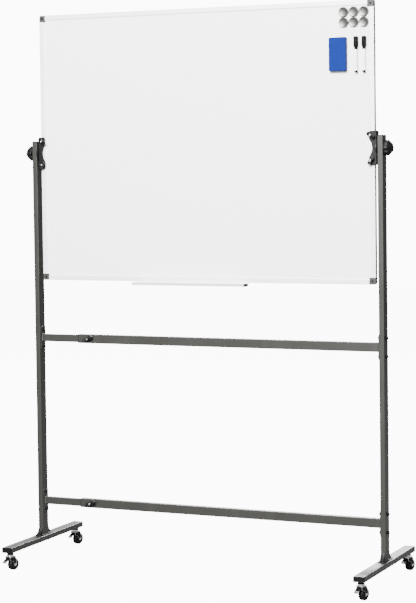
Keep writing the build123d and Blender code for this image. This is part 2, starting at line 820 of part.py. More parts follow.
with BuildPart() as caster_stems:
    for side in sides.values():
        for end in ends.values():
            spot = (side * upright_x, end * caster_y)
            with BuildSketch(Plane.XY.offset(rivet_bottom)):
                with Locations(spot):
                    Circle(rivet_radius)
            extrude(amount=fork_plate_bottom - stem_clearance - rivet_bottom)
            with BuildSketch(Plane.XY.offset(rivet_bottom)):
                with Locations(spot):
                    Circle(stem_radius)
            extrude(amount=stem_top - rivet_bottom)
            with BuildSketch(Plane.XY.offset(race_bottom)):
                with Locations(spot):
                    Circle(race_radius)
            extrude(amount=foot_bottom - socket_length - race_bottom)
save(caster_stems.part, "caster_stems")


def make_fork(frame):
    """Three solids: the pressed fork, the axle rivet and the pedal's pin."""
    back_top = (-fork_plate_half_length, fork_plate_top)
    front_top = (fork_plate_half_length, fork_plate_top)
    eye_front = (caster_trail + fork_eye_radius, wheel_radius)
    eye_back = (caster_trail - fork_eye_radius, wheel_radius)
    back_foot = (-fork_plate_half_length, fork_back_foot)
    with BuildPart() as fork:
        with BuildSketch(frame.offset(fork_plate_bottom)):
            RectangleRounded(2 * fork_leg_outer, 2 * fork_plate_half_length, fork_plate_corner)
            Circle(stem_radius + free_fit, mode=Mode.SUBTRACT)
        extrude(amount=fork_plate_top - fork_plate_bottom)
        for leg_x in (-fork_leg_outer, fork_leg_inner):
            with BuildSketch(caster_side_plane(frame, leg_x)):
                with BuildLine():
                    Line(back_top, front_top)
                    ThreePointArc(front_top, fork_front_arc, eye_front)
                    Line(eye_front, eye_back)
                    ThreePointArc(eye_back, fork_back_arc, fork_back_end)
                    Line(fork_back_end, back_foot)
                    Line(back_foot, back_top)
                make_face()
                with Locations((caster_trail, wheel_radius)):
                    Circle(fork_eye_radius)
                with Locations((caster_trail, wheel_radius)):
                    Circle(axle_radius + close_fit, mode=Mode.SUBTRACT)
                with Locations(pedal_pin):
                    Circle(pedal_pin_radius + close_fit, mode=Mode.SUBTRACT)
            extrude(amount=fork_leg_outer - fork_leg_inner)
    with BuildPart() as axle:
        with BuildSketch(caster_side_plane(frame, -fork_leg_outer)):
            with Locations((caster_trail, wheel_radius)):
                Circle(axle_radius)
        extrude(amount=2 * fork_leg_outer)
        for head_x in (-fork_leg_outer - axle_rivet_head, fork_leg_outer):
            with BuildSketch(caster_side_plane(frame, head_x)):
                with Locations((caster_trail, wheel_radius)):
                    Circle(axle_radius + axle_rivet_flange)
            extrude(amount=axle_rivet_head)
    with BuildPart() as pin:
        with BuildSketch(caster_side_plane(frame, -fork_leg_outer)):
            with Locations(pedal_pin):
                Circle(pedal_pin_radius)
        extrude(amount=2 * fork_leg_outer)
    return [fork.part, axle.part, pin.part]


def make_wheel(frame):
    """Two solids: the tyre, and the moulded centre with a recess on each side."""
    centre = (caster_trail, wheel_radius)
    half = wheel_width / 2
    with BuildPart() as tyre:
        with BuildSketch(caster_side_plane(frame, -half)):
            with Locations(centre):
                Circle(wheel_radius)
        extrude(amount=wheel_width)
        fillet(tyre.edges().filter_by(GeomType.CIRCLE), tyre_shoulder)
        with BuildSketch(caster_side_plane(frame, -half)):
            with Locations(centre):
                Circle(wheel_hub_radius)
        extrude(amount=wheel_width, mode=Mode.SUBTRACT)
    with BuildPart() as centre_moulding:
        with BuildSketch(caster_side_plane(frame, -half)):
            with Locations(centre):
                Circle(wheel_hub_radius)
        extrude(amount=wheel_width)
        for recess_x in (-half, half - wheel_recess):
            with BuildSketch(caster_side_plane(frame, recess_x)):
                with Locations(centre):
                    Circle(wheel_hub_radius - wheel_rim)
                    Circle(axle_radius + wheel_boss, mode=Mode.SUBTRACT)
            extrude(amount=wheel_recess, mode=Mode.SUBTRACT)
        with BuildSketch(caster_side_plane(frame, -half)):
            with Locations(centre):
                Circle(axle_radius + free_fit)
        extrude(amount=wheel_width, mode=Mode.SUBTRACT)
    return [tyre.part, centre_moulding.part]


def make_pedal(frame):
    """Brake pedal: a barrel on the pin, a cam that meets the tyre and a foot lever."""
    pin_y, pin_z = pedal_pin
    with BuildPart() as pedal:
        with BuildSketch(caster_side_plane(frame, -pedal_half_width)):
            with Locations(pedal_pin):
                Circle(pedal_barrel_radius)
            with BuildLine():
                Polyline(*[(pin_y + y, pin_z + z) for y, z in pedal_lever], close=True)
            make_face()
            with Locations(*[(pin_y + y, pin_z + z) for y, z in pedal_cam_centres]):
                Circle(pedal_cam_radius)
        extrude(amount=2 * pedal_half_width)
        with BuildSketch(caster_side_plane(frame, -pedal_half_width)):
            with Locations(pedal_pin):
                Circle(pedal_pin_radius + pedal_bore_gap)
        extrude(amount=2 * pedal_half_width, mode=Mode.SUBTRACT)
    return pedal.part


for end_name, end in ends.items():
    for side_name, side in sides.items():
        corner_name = f"{end_name}_{side_name}"
        frame = caster_frame(side, end)
        save(group(make_fork(frame)), f"caster_fork_{corner_name}")
        save(group(make_wheel(frame)), f"caster_wheel_{corner_name}")
        save(make_pedal(frame), f"caster_pedal_{corner_name}")

# ---------------------------------------------------------------- accessories

with BuildPart() as magnets:
    for column in magnet_columns:
        for row in magnet_rows:
            with BuildSketch(facing_front(column, board_face_y, board_centre_z + row)):
                Circle(magnet_radius)
            extrude(amount=magnet_thickness)
    fillet(magnets.faces().filter_by(Axis.Y).group_by(Axis.Y)[0].edges(), magnet_edge)
save(magnets.part, "magnets")

with BuildPart() as eraser:
    with BuildSketch(facing_front(eraser_x, board_face_y - board_gap, board_centre_z + eraser_above_centre)):
        RectangleRounded(eraser_width, eraser_height, eraser_corner)
    extrude(amount=eraser_depth)
    fillet(eraser.faces().sort_by(Axis.Y)[0].edges(), eraser_edge)
save(eraser.part, "eraser")

marker_y = board_face_y - board_gap - marker_cap_radius
marker_bottom_z = board_centre_z + marker_above_centre - marker_length / 2
cap_start_z = marker_bottom_z + marker_length - marker_cap_length
cap_shoulder_z = cap_start_z + marker_collar_length


def marker_level(x, z):
    """Level plane on a marker's axis."""
    return Plane(origin=(x, marker_y, z), z_dir=(0, 0, 1))


def make_marker(x):
    """Two solids: the barrel with its neck and nib, and the plug in its lower end."""
    with BuildPart() as barrel:
        with BuildSketch(marker_level(x, marker_bottom_z + marker_plug_length)):
            Circle(marker_radius)
        extrude(amount=cap_start_z - marker_bottom_z - marker_plug_length)
        with BuildSketch(marker_level(x, cap_start_z)):
            Circle(marker_neck_radius)
        extrude(amount=marker_collar_length)
        with BuildSketch(marker_level(x, cap_shoulder_z)):
            Circle(marker_nib_radius)
        extrude(amount=marker_nib_length)
    with BuildPart() as end_plug:
        with BuildSketch(marker_level(x, marker_bottom_z)):
            Circle(marker_radius)
        extrude(amount=marker_plug_length)
        fillet(end_plug.faces().sort_by(Axis.Z)[0].edges(), marker_plug_edge)
    return [barrel.part, end_plug.part]


def make_marker_cap(x):
    """Fluted cap with a narrower collar, hollow for the neck and the nib."""
    with BuildPart() as cap:
        with BuildSketch(marker_level(x, cap_start_z + board_gap)):
            Circle(marker_collar_radius)
        extrude(amount=marker_collar_length)
        with BuildSketch(marker_level(x, cap_shoulder_z)):
            Circle(marker_cap_radius)
            with PolarLocations(marker_cap_radius + marker_flute_offset, marker_flutes):
                Circle(marker_flute_radius, mode=Mode.SUBTRACT)
        extrude(amount=marker_cap_length - marker_collar_length)
        with BuildSketch(marker_level(x, cap_start_z)):
            Circle(marker_neck_radius + running_gap)
        extrude(amount=marker_collar_length + marker_neck_room, mode=Mode.SUBTRACT)
        with BuildSketch(marker_level(x, cap_start_z)):
            Circle(marker_nib_room_radius)
        extrude(amount=marker_collar_length + marker_nib_room_length, mode=Mode.SUBTRACT)
    return cap.part


for marker_name, marker_x in marker_positions.items():
    save(group(make_marker(marker_x)), f"marker_{marker_name}")
    save(make_marker_cap(marker_x), f"marker_cap_{marker_name}")
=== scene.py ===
"""Rolling double-sided whiteboard: the finished looks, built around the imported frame."""

import logging
import math
from dataclasses import dataclass, field
from enum import Enum

import bmesh
import bpy
from mathutils import Matrix, Vector


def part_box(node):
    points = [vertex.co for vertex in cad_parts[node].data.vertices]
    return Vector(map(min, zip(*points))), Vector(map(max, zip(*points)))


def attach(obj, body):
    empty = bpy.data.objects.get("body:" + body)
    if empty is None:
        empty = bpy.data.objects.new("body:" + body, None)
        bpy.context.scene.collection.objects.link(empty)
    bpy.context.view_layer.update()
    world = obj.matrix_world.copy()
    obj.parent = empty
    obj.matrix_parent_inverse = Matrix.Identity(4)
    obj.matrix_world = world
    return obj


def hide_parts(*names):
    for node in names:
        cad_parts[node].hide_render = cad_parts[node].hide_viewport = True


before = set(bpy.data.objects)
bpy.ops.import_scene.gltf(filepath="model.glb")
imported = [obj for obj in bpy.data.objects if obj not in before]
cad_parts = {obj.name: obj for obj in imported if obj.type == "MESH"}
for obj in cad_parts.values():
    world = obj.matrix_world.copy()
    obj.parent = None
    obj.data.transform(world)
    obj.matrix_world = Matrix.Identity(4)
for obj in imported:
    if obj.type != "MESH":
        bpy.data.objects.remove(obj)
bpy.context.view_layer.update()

log = logging.getLogger("whiteboard")
MM = 0.001


# ---------------------------------------------------------------- shared helpers


def centre_of(node: str) -> Vector:
    """Returns the middle of a CAD node's box."""
    low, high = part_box(node)
    return (low + high) / 2


def basis(origin: Vector, x_axis: Vector, z_axis: Vector) -> Matrix:
    """Builds a placement from an origin and two square axes.

    Args:
        origin: where local zero goes.
        x_axis: direction of local x.
        z_axis: direction of local z.

    Returns:
        A matrix that takes local points to the row frame.
    """
    z = z_axis.normalized()
    x = (x_axis - z * x_axis.dot(z)).normalized()
    y = z.cross(x)
    return Matrix.Translation(origin) @ Matrix((x, y, z)).transposed().to_4x4()


def finish_mesh(bm: bmesh.types.BMesh, name: str, sharp: float = 32.0) -> bpy.types.Mesh:
    """Merges doubles, turns faces outwards and marks sharp edges.

    Args:
        bm: the shape, which is freed here.
        name: the mesh's name.
        sharp: edges folded by more than this many degrees stay crisp.

    Returns:
        The finished mesh.
    """
    bmesh.ops.remove_doubles(bm, verts=bm.verts, dist=2e-6)
    bmesh.ops.dissolve_degenerate(bm, edges=bm.edges, dist=1e-7)
    bmesh.ops.recalc_face_normals(bm, faces=bm.faces)
    limit = math.radians(sharp)
    for face in bm.faces:
        face.smooth = True
    for edge in bm.edges:
        edge.smooth = len(edge.link_faces) == 2 and edge.calc_face_angle(0.0) < limit
    mesh = bpy.data.meshes.new(name)
    bm.to_mesh(mesh)
    bm.free()
    return mesh


def soften(bm: bmesh.types.BMesh, width: float, segments: int = 2, angle: float = 32.0) -> None:
    """Rounds every edge that is folded by more than an angle, in place."""
    bmesh.ops.remove_doubles(bm, verts=bm.verts, dist=1e-6)
    bmesh.ops.recalc_face_normals(bm, faces=bm.faces)
    limit = math.radians(angle)
    edges = [e for e in bm.edges if len(e.link_faces) == 2 and e.calc_face_angle(0.0) > limit]
    bmesh.ops.bevel(bm, geom=edges, offset=width, offset_type="OFFSET", segments=segments,
                    profile=0.5, affect="EDGES", clamp_overlap=True)


def lathe(bm: bmesh.types.BMesh, profile: list[tuple[float, float]], place: Matrix,
          steps: int = 48) -> None:
    """Adds a turned shape.

    Args:
        bm: where the shape is added.
        profile: (radius, height) pairs from one pole or rim to the other, in metres.
        place: takes the turning axis, local z, to the row frame.
        steps: how many facets go round.
    """
    closed_ring = profile[0][0] > 0 and profile[-1][0] > 0
    rings = []
    for radius, height in profile:
        if radius <= 0:
            rings.append([bm.verts.new(place @ Vector((0, 0, height)))])
            continue
        rings.append([bm.verts.new(place @ Vector((radius * math.cos(turn), radius * math.sin(turn),
                                                   height)))
                      for turn in (2 * math.pi * k / steps for k in range(steps))])
    if closed_ring:
        rings.append(rings[0])
    for low, high in zip(rings, rings[1:]):
        for k in range(steps):
            following = (k + 1) % steps
            corners = [low[k % len(low)], low[following % len(low)],
                       high[following % len(high)], high[k % len(high)]]
            unique = list(dict.fromkeys(corners))
            if len(unique) > 2:
                bm.faces.new(unique)


def prism(bm: bmesh.types.BMesh, outline: list[tuple[float, float]], thickness: float,
          place: Matrix) -> None:
    """Adds a flat plate.

    Args:
        bm: where the plate is added.
        outline: its corners in local x and y, in metres.
        thickness: how far it rises along local z from zero.
        place: takes local points to the row frame.
    """
    low = [bm.verts.new(place @ Vector((x, y, 0))) for x, y in outline]
    high = [bm.verts.new(place @ Vector((x, y, thickness))) for x, y in outline]
    bm.faces.new(low)
    bm.faces.new(high)
    for k in range(len(outline)):
        following = (k + 1) % len(outline)
        bm.faces.new([low[k], low[following], high[following], high[k]])


def rounded_outline(width: float, height: float, radius: float,
                    steps: int = 5) -> list[tuple[float, float]]:
    """Returns a rectangle about the origin with round corners."""
    points = []
    for quarter, (sx, sy) in enumerate(((1, 1), (-1, 1), (-1, -1), (1, -1))):
        for k in range(steps + 1):
            turn = math.pi / 2 * (quarter + k / steps)
            points.append((sx * (width / 2 - radius) + radius * math.cos(turn),
                           sy * (height / 2 - radius) + radius * math.sin(turn)))
    return points


def arc_points(centre: tuple[float, float], radius: float, start: float, stop: float,
               steps: int = 8) -> list[tuple[float, float]]:
    """Returns points along an arc, angles in degrees."""
    turns = (math.radians(start + (stop - start) * k / steps) for k in range(steps + 1))
    return [(centre[0] + radius * math.cos(t), centre[1] + radius * math.sin(t)) for t in turns]


def add_piece(mesh: bpy.types.Mesh, name: str, finish: bpy.types.Material, body: str,
              replaces: tuple[str, ...] = ()) -> bpy.types.Object:
    """Puts a finished mesh in the scene and joins it to the frame.

    Args:
        mesh: the piece's mesh, already in its place.
        name: the piece's name.
        finish: its material.
        body: the CAD body that it rides on.
        replaces: CAD nodes that it stands for.

    Returns:
        The piece.
    """
    mesh.materials.clear()
    mesh.materials.append(finish)
    piece = bpy.data.objects.new(name, mesh)
    bpy.context.scene.collection.objects.link(piece)
    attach(piece, body)
    if replaces:
        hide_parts(*replaces)
    log.info("%s rides on %s, %d faces", name, body, len(mesh.polygons))
    return piece


def dress(finish: bpy.types.Material, *nodes: str) -> None:
    """Gives CAD nodes a finish in their own material slots."""
    for name in nodes:
        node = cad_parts[name]
        if not node.material_slots:
            node.data.materials.append(finish)
        for place in node.material_slots:
            place.material = finish
        log.info("%s is dressed in %s", name, finish.name)


# ---------------------------------------------------------------- shader groups


class GroupBuilder:
    """A small pen for writing shader and geometry node groups."""

    def __init__(self, name: str, kind: str = "ShaderNodeTree") -> None:
        """Starts an empty group of the given kind."""
        self.tree = bpy.data.node_groups.new(name, kind)
        self.start = self.tree.nodes.new("NodeGroupInput")
        self.end = self.tree.nodes.new("NodeGroupOutput")

    def input(self, name: str, kind: str, value: object = None) -> None:
        """Adds a named input with its default value."""
        socket = self.tree.interface.new_socket(name, in_out="INPUT", socket_type=kind)
        if value is not None:
            socket.default_value = value

    def output(self, name: str, kind: str) -> None:
        """Adds a named output."""
        self.tree.interface.new_socket(name, in_out="OUTPUT", socket_type=kind)

    def node(self, kind: str, links: dict | None = None, **settings: object) -> bpy.types.Node:
        """Adds a node.

        Args:
            kind: the node's type.
            links: socket name or number to a value or to another node's output.
            settings: the node's own properties.

        Returns:
            The node.
        """
        made = self.tree.nodes.new(kind)
        for key, value in settings.items():
            setattr(made, key, value)
        for key, value in (links or {}).items():
            self.feed(made.inputs[key], value)
        return made

    def feed(self, socket: bpy.types.NodeSocket, value: object) -> None:
        """Links an output to a socket, or sets the socket's value."""
        if isinstance(value, bpy.types.NodeSocket):
            self.tree.links.new(value, socket)
        else:
            socket.default_value = value

    def given(self, name: str) -> bpy.types.NodeSocket:
        """Returns one of the group's own inputs."""
        return self.start.outputs[name]

    def math(self, operation: str, first: object, second: object = 0.0,
             clamp: bool = False) -> bpy.types.NodeSocket:
        """Adds a math node and returns its result."""
        made = self.node("ShaderNodeMath", {0: first, 1: second}, operation=operation)
        made.use_clamp = clamp
        return made.outputs[0]

    def give(self, name: str, value: object) -> None:
        """Feeds one of the group's outputs."""
        self.feed(self.end.inputs[name], value)


def build_grain_group() -> bpy.types.NodeTree:
    """Fine grain over broad mottling, for colour, roughness and height."""
    pen = GroupBuilder("surface_grain")
    pen.input("Fine Scale", "NodeSocketFloat", 900.0)
    pen.input("Broad Scale", "NodeSocketFloat", 6.0)
    pen.input("Stretch", "NodeSocketVector", (1.0, 1.0, 1.0))
    pen.output("Fine", "NodeSocketFloat")
    pen.output("Broad", "NodeSocketFloat")
    place = pen.node("ShaderNodeTexCoord")
    stretched = pen.node("ShaderNodeVectorMath", {0: place.outputs["Object"], 1: pen.given("Stretch")},
                         operation="MULTIPLY")
    fine = pen.node("ShaderNodeTexNoise",
                    {"Vector": stretched.outputs[0], "Scale": pen.given("Fine Scale"),
                                           "Detail": 3.0, "Roughness": 0.6})
    broad = pen.node("ShaderNodeTexNoise",
                     {"Vector": place.outputs["Object"], "Scale": pen.given("Broad Scale"),
                                            "Detail": 5.0, "Roughness": 0.62})
    pen.give("Fine", fine.outputs[0])
    pen.give("Broad", broad.outputs[0])
    return pen.tree


def build_edge_group() -> bpy.types.NodeTree:
    """Softened corners: a rounded normal, and a mask that is strong along worn edges."""
    pen = GroupBuilder("soft_edges")
    pen.input("Radius", "NodeSocketFloat", 0.0006)
    pen.input("Patch Scale", "NodeSocketFloat", 45.0)
    pen.input("Amount", "NodeSocketFloat", 0.5)
    pen.output("Normal", "NodeSocketVector")
    pen.output("Edge", "NodeSocketFloat")
    round_normal = pen.node("ShaderNodeBevel", {"Radius": pen.given("Radius")}, samples=6)
    surface = pen.node("ShaderNodeNewGeometry")
    likeness = pen.node("ShaderNodeVectorMath",
                        {0: round_normal.outputs[0], 1: surface.outputs["Normal"]},
                        operation="DOT_PRODUCT")
    fold = pen.math("SUBTRACT", 1.0, likeness.outputs["Value"])
    strong = pen.math("MULTIPLY", fold, 9.0, clamp=True)
    place = pen.node("ShaderNodeTexCoord")
    patches = pen.node("ShaderNodeTexNoise",
                       {"Vector": place.outputs["Object"], "Scale": pen.given("Patch Scale"),
                                              "Detail": 6.0, "Roughness": 0.7})
    broken = pen.node("ShaderNodeMapRange",
                      {"Value": patches.outputs[0], "From Min": 0.48, "From Max": 0.66})
    worn = pen.math("MULTIPLY", strong, broken.outputs[0])
    pen.give("Edge", pen.math("MULTIPLY", worn, pen.given("Amount"), clamp=True))
    pen.give("Normal", round_normal.outputs[0])
    return pen.tree


def build_scuff_group() -> bpy.types.NodeTree:
    """Thin scuffs and handling smears, as a sparse mask."""
    pen = GroupBuilder("scuffs")
    pen.input("Scale", "NodeSocketFloat", 18.0)
    pen.input("Stretch", "NodeSocketVector", (1.0, 1.0, 9.0))
    pen.input("Amount", "NodeSocketFloat", 0.5)
    pen.output("Mask", "NodeSocketFloat")
    place = pen.node("ShaderNodeTexCoord")
    stretched = pen.node("ShaderNodeVectorMath", {0: place.outputs["Object"], 1: pen.given("Stretch")},
                         operation="MULTIPLY")
    streaks = pen.node("ShaderNodeTexNoise",
                       {"Vector": stretched.outputs[0], "Scale": pen.given("Scale"),
                                              "Detail": 7.0, "Roughness": 0.72, "Distortion": 0.6})
    sparse = pen.node("ShaderNodeMapRange",
                      {"Value": streaks.outputs[0], "From Min": 0.56, "From Max": 0.74})
    pen.give("Mask", pen.math("MULTIPLY", sparse.outputs[0], pen.given("Amount"), clamp=True))
    return pen.tree


GRAIN = build_grain_group()
EDGES = build_edge_group()
SCUFFS = build_scuff_group()

Colour = tuple[float, float, float]


class MaterialPen(GroupBuilder):
    """Writes one material around its Principled shader."""

    def __init__(self, name: str) -> None:
        """Starts a material with a Principled shader wired to its surface."""
        self.material = bpy.data.materials.new(name)
        self.material.use_nodes = True
        self.tree = self.material.node_tree
        self.tree.nodes.clear()
        self.shader = self.tree.nodes.new("ShaderNodeBsdfPrincipled")
        surface = self.tree.nodes.new("ShaderNodeOutputMaterial")
        self.tree.links.new(self.shader.outputs[0], surface.inputs[0])

    def group(self, tree: bpy.types.NodeTree, **values: object) -> bpy.types.Node:
        """Places a shared group, with its inputs given as words joined by underscores."""
        made = self.tree.nodes.new("ShaderNodeGroup")
        made.node_tree = tree
        for key, value in values.items():
            self.feed(made.inputs[key.replace("_", " ").title()], value)
        return made

    def between(self, amount: object, first: Colour, second: Colour) -> bpy.types.NodeSocket:
        """Returns a mix of two colours, steered by an amount from zero to one."""
        made = self.node("ShaderNodeMix", data_type="RGBA")
        self.feed(made.inputs["Factor"], amount)
        for socket, value in ((made.inputs[6], first), (made.inputs[7], second)):
            self.feed(socket, value if isinstance(value, bpy.types.NodeSocket) else (*value, 1.0))
        return made.outputs[2]

    def ranged(self, value: object, low: float, high: float) -> bpy.types.NodeSocket:
        """Maps a value from zero to one onto a range."""
        made = self.node("ShaderNodeMapRange", {"Value": value, "To Min": low, "To Max": high})
        return made.outputs[0]

    def bump(self, height: object, strength: float, distance: float,
             normal: bpy.types.NodeSocket | None = None) -> None:
        """Feeds the shader's normal from a height."""
        made = self.node("ShaderNodeBump",
                         {"Height": height, "Strength": strength, "Distance": distance})
        if normal is not None:
            self.feed(made.inputs["Normal"], normal)
        self.feed(self.shader.inputs["Normal"], made.outputs[0])

    def set(self, **values: object) -> None:
        """Sets or links the shader's own sockets, named as words joined by underscores."""
        short = {"ior": "IOR", "specular": "Specular IOR Level"}
        for key, value in values.items():
            spoken = short.get(key, key.replace("_", " ").title())
            self.feed(self.shader.inputs[spoken], value)


# ---------------------------------------------------------------- finishes


@dataclass(frozen=True)
class PowderCoat:
    """Baked powder paint: orange peel, a slightly mottled gloss and rubbed corners."""

    name: str
    colour: Colour
    rubbed: Colour
    roughness: float = 0.34
    peel: float = 0.22
    wear: float = 0.22
    specular: float = 0.45

    def build(self) -> bpy.types.Material:
        """Returns the material."""
        pen = MaterialPen(self.name)
        grain = pen.group(GRAIN, fine_scale=1300.0, broad_scale=5.0)
        edges = pen.group(EDGES, radius=0.0008, patch_scale=60.0, amount=self.wear)
        scuffs = pen.group(SCUFFS, scale=14.0, stretch=(1.0, 1.0, 0.18), amount=0.35)
        lighter = tuple(min(1.0, c * 1.35 + 0.002) for c in self.colour)
        mottled = pen.between(pen.ranged(grain.outputs["Broad"], 0.1, 0.9), self.colour, lighter)
        scuffed = pen.between(scuffs.outputs["Mask"], mottled,
                              tuple(c * 1.7 + 0.003 for c in self.colour))
        pen.set(base_color=pen.between(edges.outputs["Edge"], scuffed, self.rubbed))
        rough = pen.math("ADD", pen.ranged(grain.outputs["Broad"], self.roughness - 0.09,
                                           self.roughness + 0.09),
                         pen.math("MULTIPLY", scuffs.outputs["Mask"], 0.14))
        pen.set(roughness=rough, specular=self.specular,
                metallic=pen.math("MULTIPLY", edges.outputs["Edge"], 0.2))
        pen.bump(grain.outputs["Fine"], self.peel, 0.0002, edges.outputs["Normal"])
        return pen.material


@dataclass(frozen=True)
class MetalFinish:
    """Bare or plated metal: directional grain, cloudy tarnish and bright rubbed edges."""

    name: str
    colour: Colour
    tarnish: Colour
    roughness: float = 0.3
    stretch: tuple[float, float, float] = (1.0, 1.0, 1.0)
    fine_scale: float = 900.0
    brushing: float = 0.12
    metallic: float = 1.0
    specular: float = 0.5

    def build(self) -> bpy.types.Material:
        """Returns the material."""
        pen = MaterialPen(self.name)
        grain = pen.group(GRAIN, fine_scale=self.fine_scale, broad_scale=16.0, stretch=self.stretch)
        edges = pen.group(EDGES, radius=0.0004, patch_scale=80.0, amount=0.35)
        scuffs = pen.group(SCUFFS, scale=30.0, stretch=(1.0, 1.0, 1.0), amount=0.4)
        cloudy = pen.between(pen.ranged(grain.outputs["Broad"], 0.0, 0.8), self.colour, self.tarnish)
        bright = tuple(min(1.0, c * 1.1) for c in self.colour)
        pen.set(base_color=pen.between(edges.outputs["Edge"], cloudy, bright), metallic=self.metallic,
                specular=self.specular)
        streaky = pen.ranged(grain.outputs["Fine"], self.roughness - 0.08, self.roughness + 0.1)
        pen.set(roughness=pen.math("ADD", streaky, pen.math("MULTIPLY", scuffs.outputs["Mask"], 0.12)))
        pen.bump(grain.outputs["Fine"], self.brushing, 0.00012, edges.outputs["Normal"])
        return pen.material


@dataclass(frozen=True)
class MouldedPlastic:
    """Injection-moulded plastic: spark-eroded texture, faint flow marks and polished corners."""

    name: str
    colour: Colour
    roughness: float = 0.5
    texture: float = 0.25
    polish: float = 0.4
    specular: float = 0.5

    def build(self) -> bpy.types.Material:
        """Returns the material."""
        pen = MaterialPen(self.name)
        grain = pen.group(GRAIN, fine_scale=1700.0, broad_scale=22.0)
        edges = pen.group(EDGES, radius=0.0007, patch_scale=40.0, amount=self.polish)
        paler = tuple(min(1.0, c * 1.35 + 0.001) for c in self.colour)
        flow = pen.between(pen.ranged(grain.outputs["Broad"], 0.0, 0.7), self.colour, paler)
        pen.set(base_color=pen.between(edges.outputs["Edge"], flow,
                                       tuple(min(1.0, c * 1.5 + 0.002) for c in paler)))
        rough = pen.math("SUBTRACT", pen.ranged(grain.outputs["Broad"], self.roughness - 0.07,
                                                self.roughness + 0.08),
                         pen.math("MULTIPLY", edges.outputs["Edge"], 0.15))
        pen.set(roughness=rough, specular=self.specular)
        pen.bump(grain.outputs["Fine"], self.texture, 0.00015, edges.outputs["Normal"])
        return pen.material


@dataclass(frozen=True)
class RubberFinish:
    """Wheel and pad rubber: matt, dusty where it rolls, with fine pits."""

    name: str
    colour: Colour
    dust: Colour = (0.05, 0.048, 0.045)

    def build(self) -> bpy.types.Material:
        """Returns the material."""
        pen = MaterialPen(self.name)
        grain = pen.group(GRAIN, fine_scale=1100.0, broad_scale=55.0)
        scuffs = pen.group(SCUFFS, scale=70.0, stretch=(1.0, 1.0, 1.0), amount=0.55)
        dusty = pen.between(pen.math("MULTIPLY", scuffs.outputs["Mask"], 0.6), self.colour, self.dust)
        pen.set(base_color=dusty, roughness=pen.ranged(grain.outputs["Broad"], 0.42, 0.75),
                specular=0.2)
        pen.bump(grain.outputs["Fine"], 0.35, 0.00025)
        return pen.material


@dataclass(frozen=True)
class WhiteboardLacquer:
    """Glossy white writing lacquer with faint wiped pen haze and eraser arcs."""

    name: str
    white: Colour = (0.80, 0.805, 0.81)
    haze: Colour = (0.70, 0.71, 0.725)

    def build(self) -> bpy.types.Material:
        """Returns the material."""
        pen = MaterialPen(self.name)
        grain = pen.group(GRAIN, fine_scale=220.0, broad_scale=2.2)
        wiped = pen.group(SCUFFS, scale=3.2, stretch=(0.5, 1.0, 1.6), amount=0.30)
        clouded = pen.between(pen.ranged(grain.outputs["Broad"], 0.0, 0.22), self.white, self.haze)
        pen.set(base_color=pen.between(wiped.outputs["Mask"], clouded, self.haze))
        rough = pen.math("ADD", pen.ranged(grain.outputs["Broad"], 0.16, 0.24),
                         pen.math("MULTIPLY", wiped.outputs["Mask"], 0.25))
        pen.set(roughness=rough, specular=0.5, coat_weight=0.25, coat_roughness=0.12)
        pen.bump(grain.outputs["Fine"], 0.02, 0.0001)
        return pen.material


@dataclass(frozen=True)
class FoamFinish:
    """Dense coloured foam: open pores darkened with painted shade, soft colour drift and a little fibre sheen.
    """

    name: str
    colour: Colour
    # shade: the darker tone of the colour drift, and the painted shade in the pores
    shade: Colour
    pore_scale: float = 900.0
    depth: float = 0.5

    def build(self) -> bpy.types.Material:
        """Returns the material."""
        pen = MaterialPen(self.name)
        grain = pen.group(GRAIN, fine_scale=1500.0, broad_scale=38.0)
        place = pen.node("ShaderNodeTexCoord")
        pores = pen.node("ShaderNodeTexVoronoi",
                         {"Vector": place.outputs["Object"], "Scale": self.pore_scale})
        pits = pen.node("ShaderNodeMapRange", {"Value": pores.outputs["Distance"], "From Max": 0.45})
        drift = pen.between(pen.ranged(grain.outputs["Broad"], 0.0, 1.0), self.colour, self.shade)
        # The pores are darkened towards their centres: painted shade in the hollows.
        pen.set(base_color=pen.between(pen.ranged(pits.outputs[0], 0.55, 0.0), drift, self.shade))
        pen.set(roughness=pen.ranged(grain.outputs["Fine"], 0.72, 0.95), specular=0.10,
                sheen_weight=0.06, sheen_roughness=0.5)
        height = pen.math("ADD", pits.outputs[0], pen.math("MULTIPLY", grain.outputs["Fine"], 0.5))
        pen.bump(height, self.depth, 0.0004)
        return pen.material


@dataclass(frozen=True)
class BoardPaper:
    """Fibrous honeycomb paper of the panel core."""

    name: str
    colour: Colour = (0.50, 0.40, 0.27)

    def build(self) -> bpy.types.Material:
        """Returns the material."""
        pen = MaterialPen(self.name)
        grain = pen.group(GRAIN, fine_scale=600.0, broad_scale=30.0, stretch=(1.0, 1.0, 0.2))
        darker = tuple(c * 0.75 for c in self.colour)
        pen.set(base_color=pen.between(grain.outputs["Broad"], self.colour, darker),
                roughness=pen.ranged(grain.outputs["Fine"], 0.8, 0.95))
        pen.bump(grain.outputs["Fine"], 0.5, 0.0004)
        return pen.material


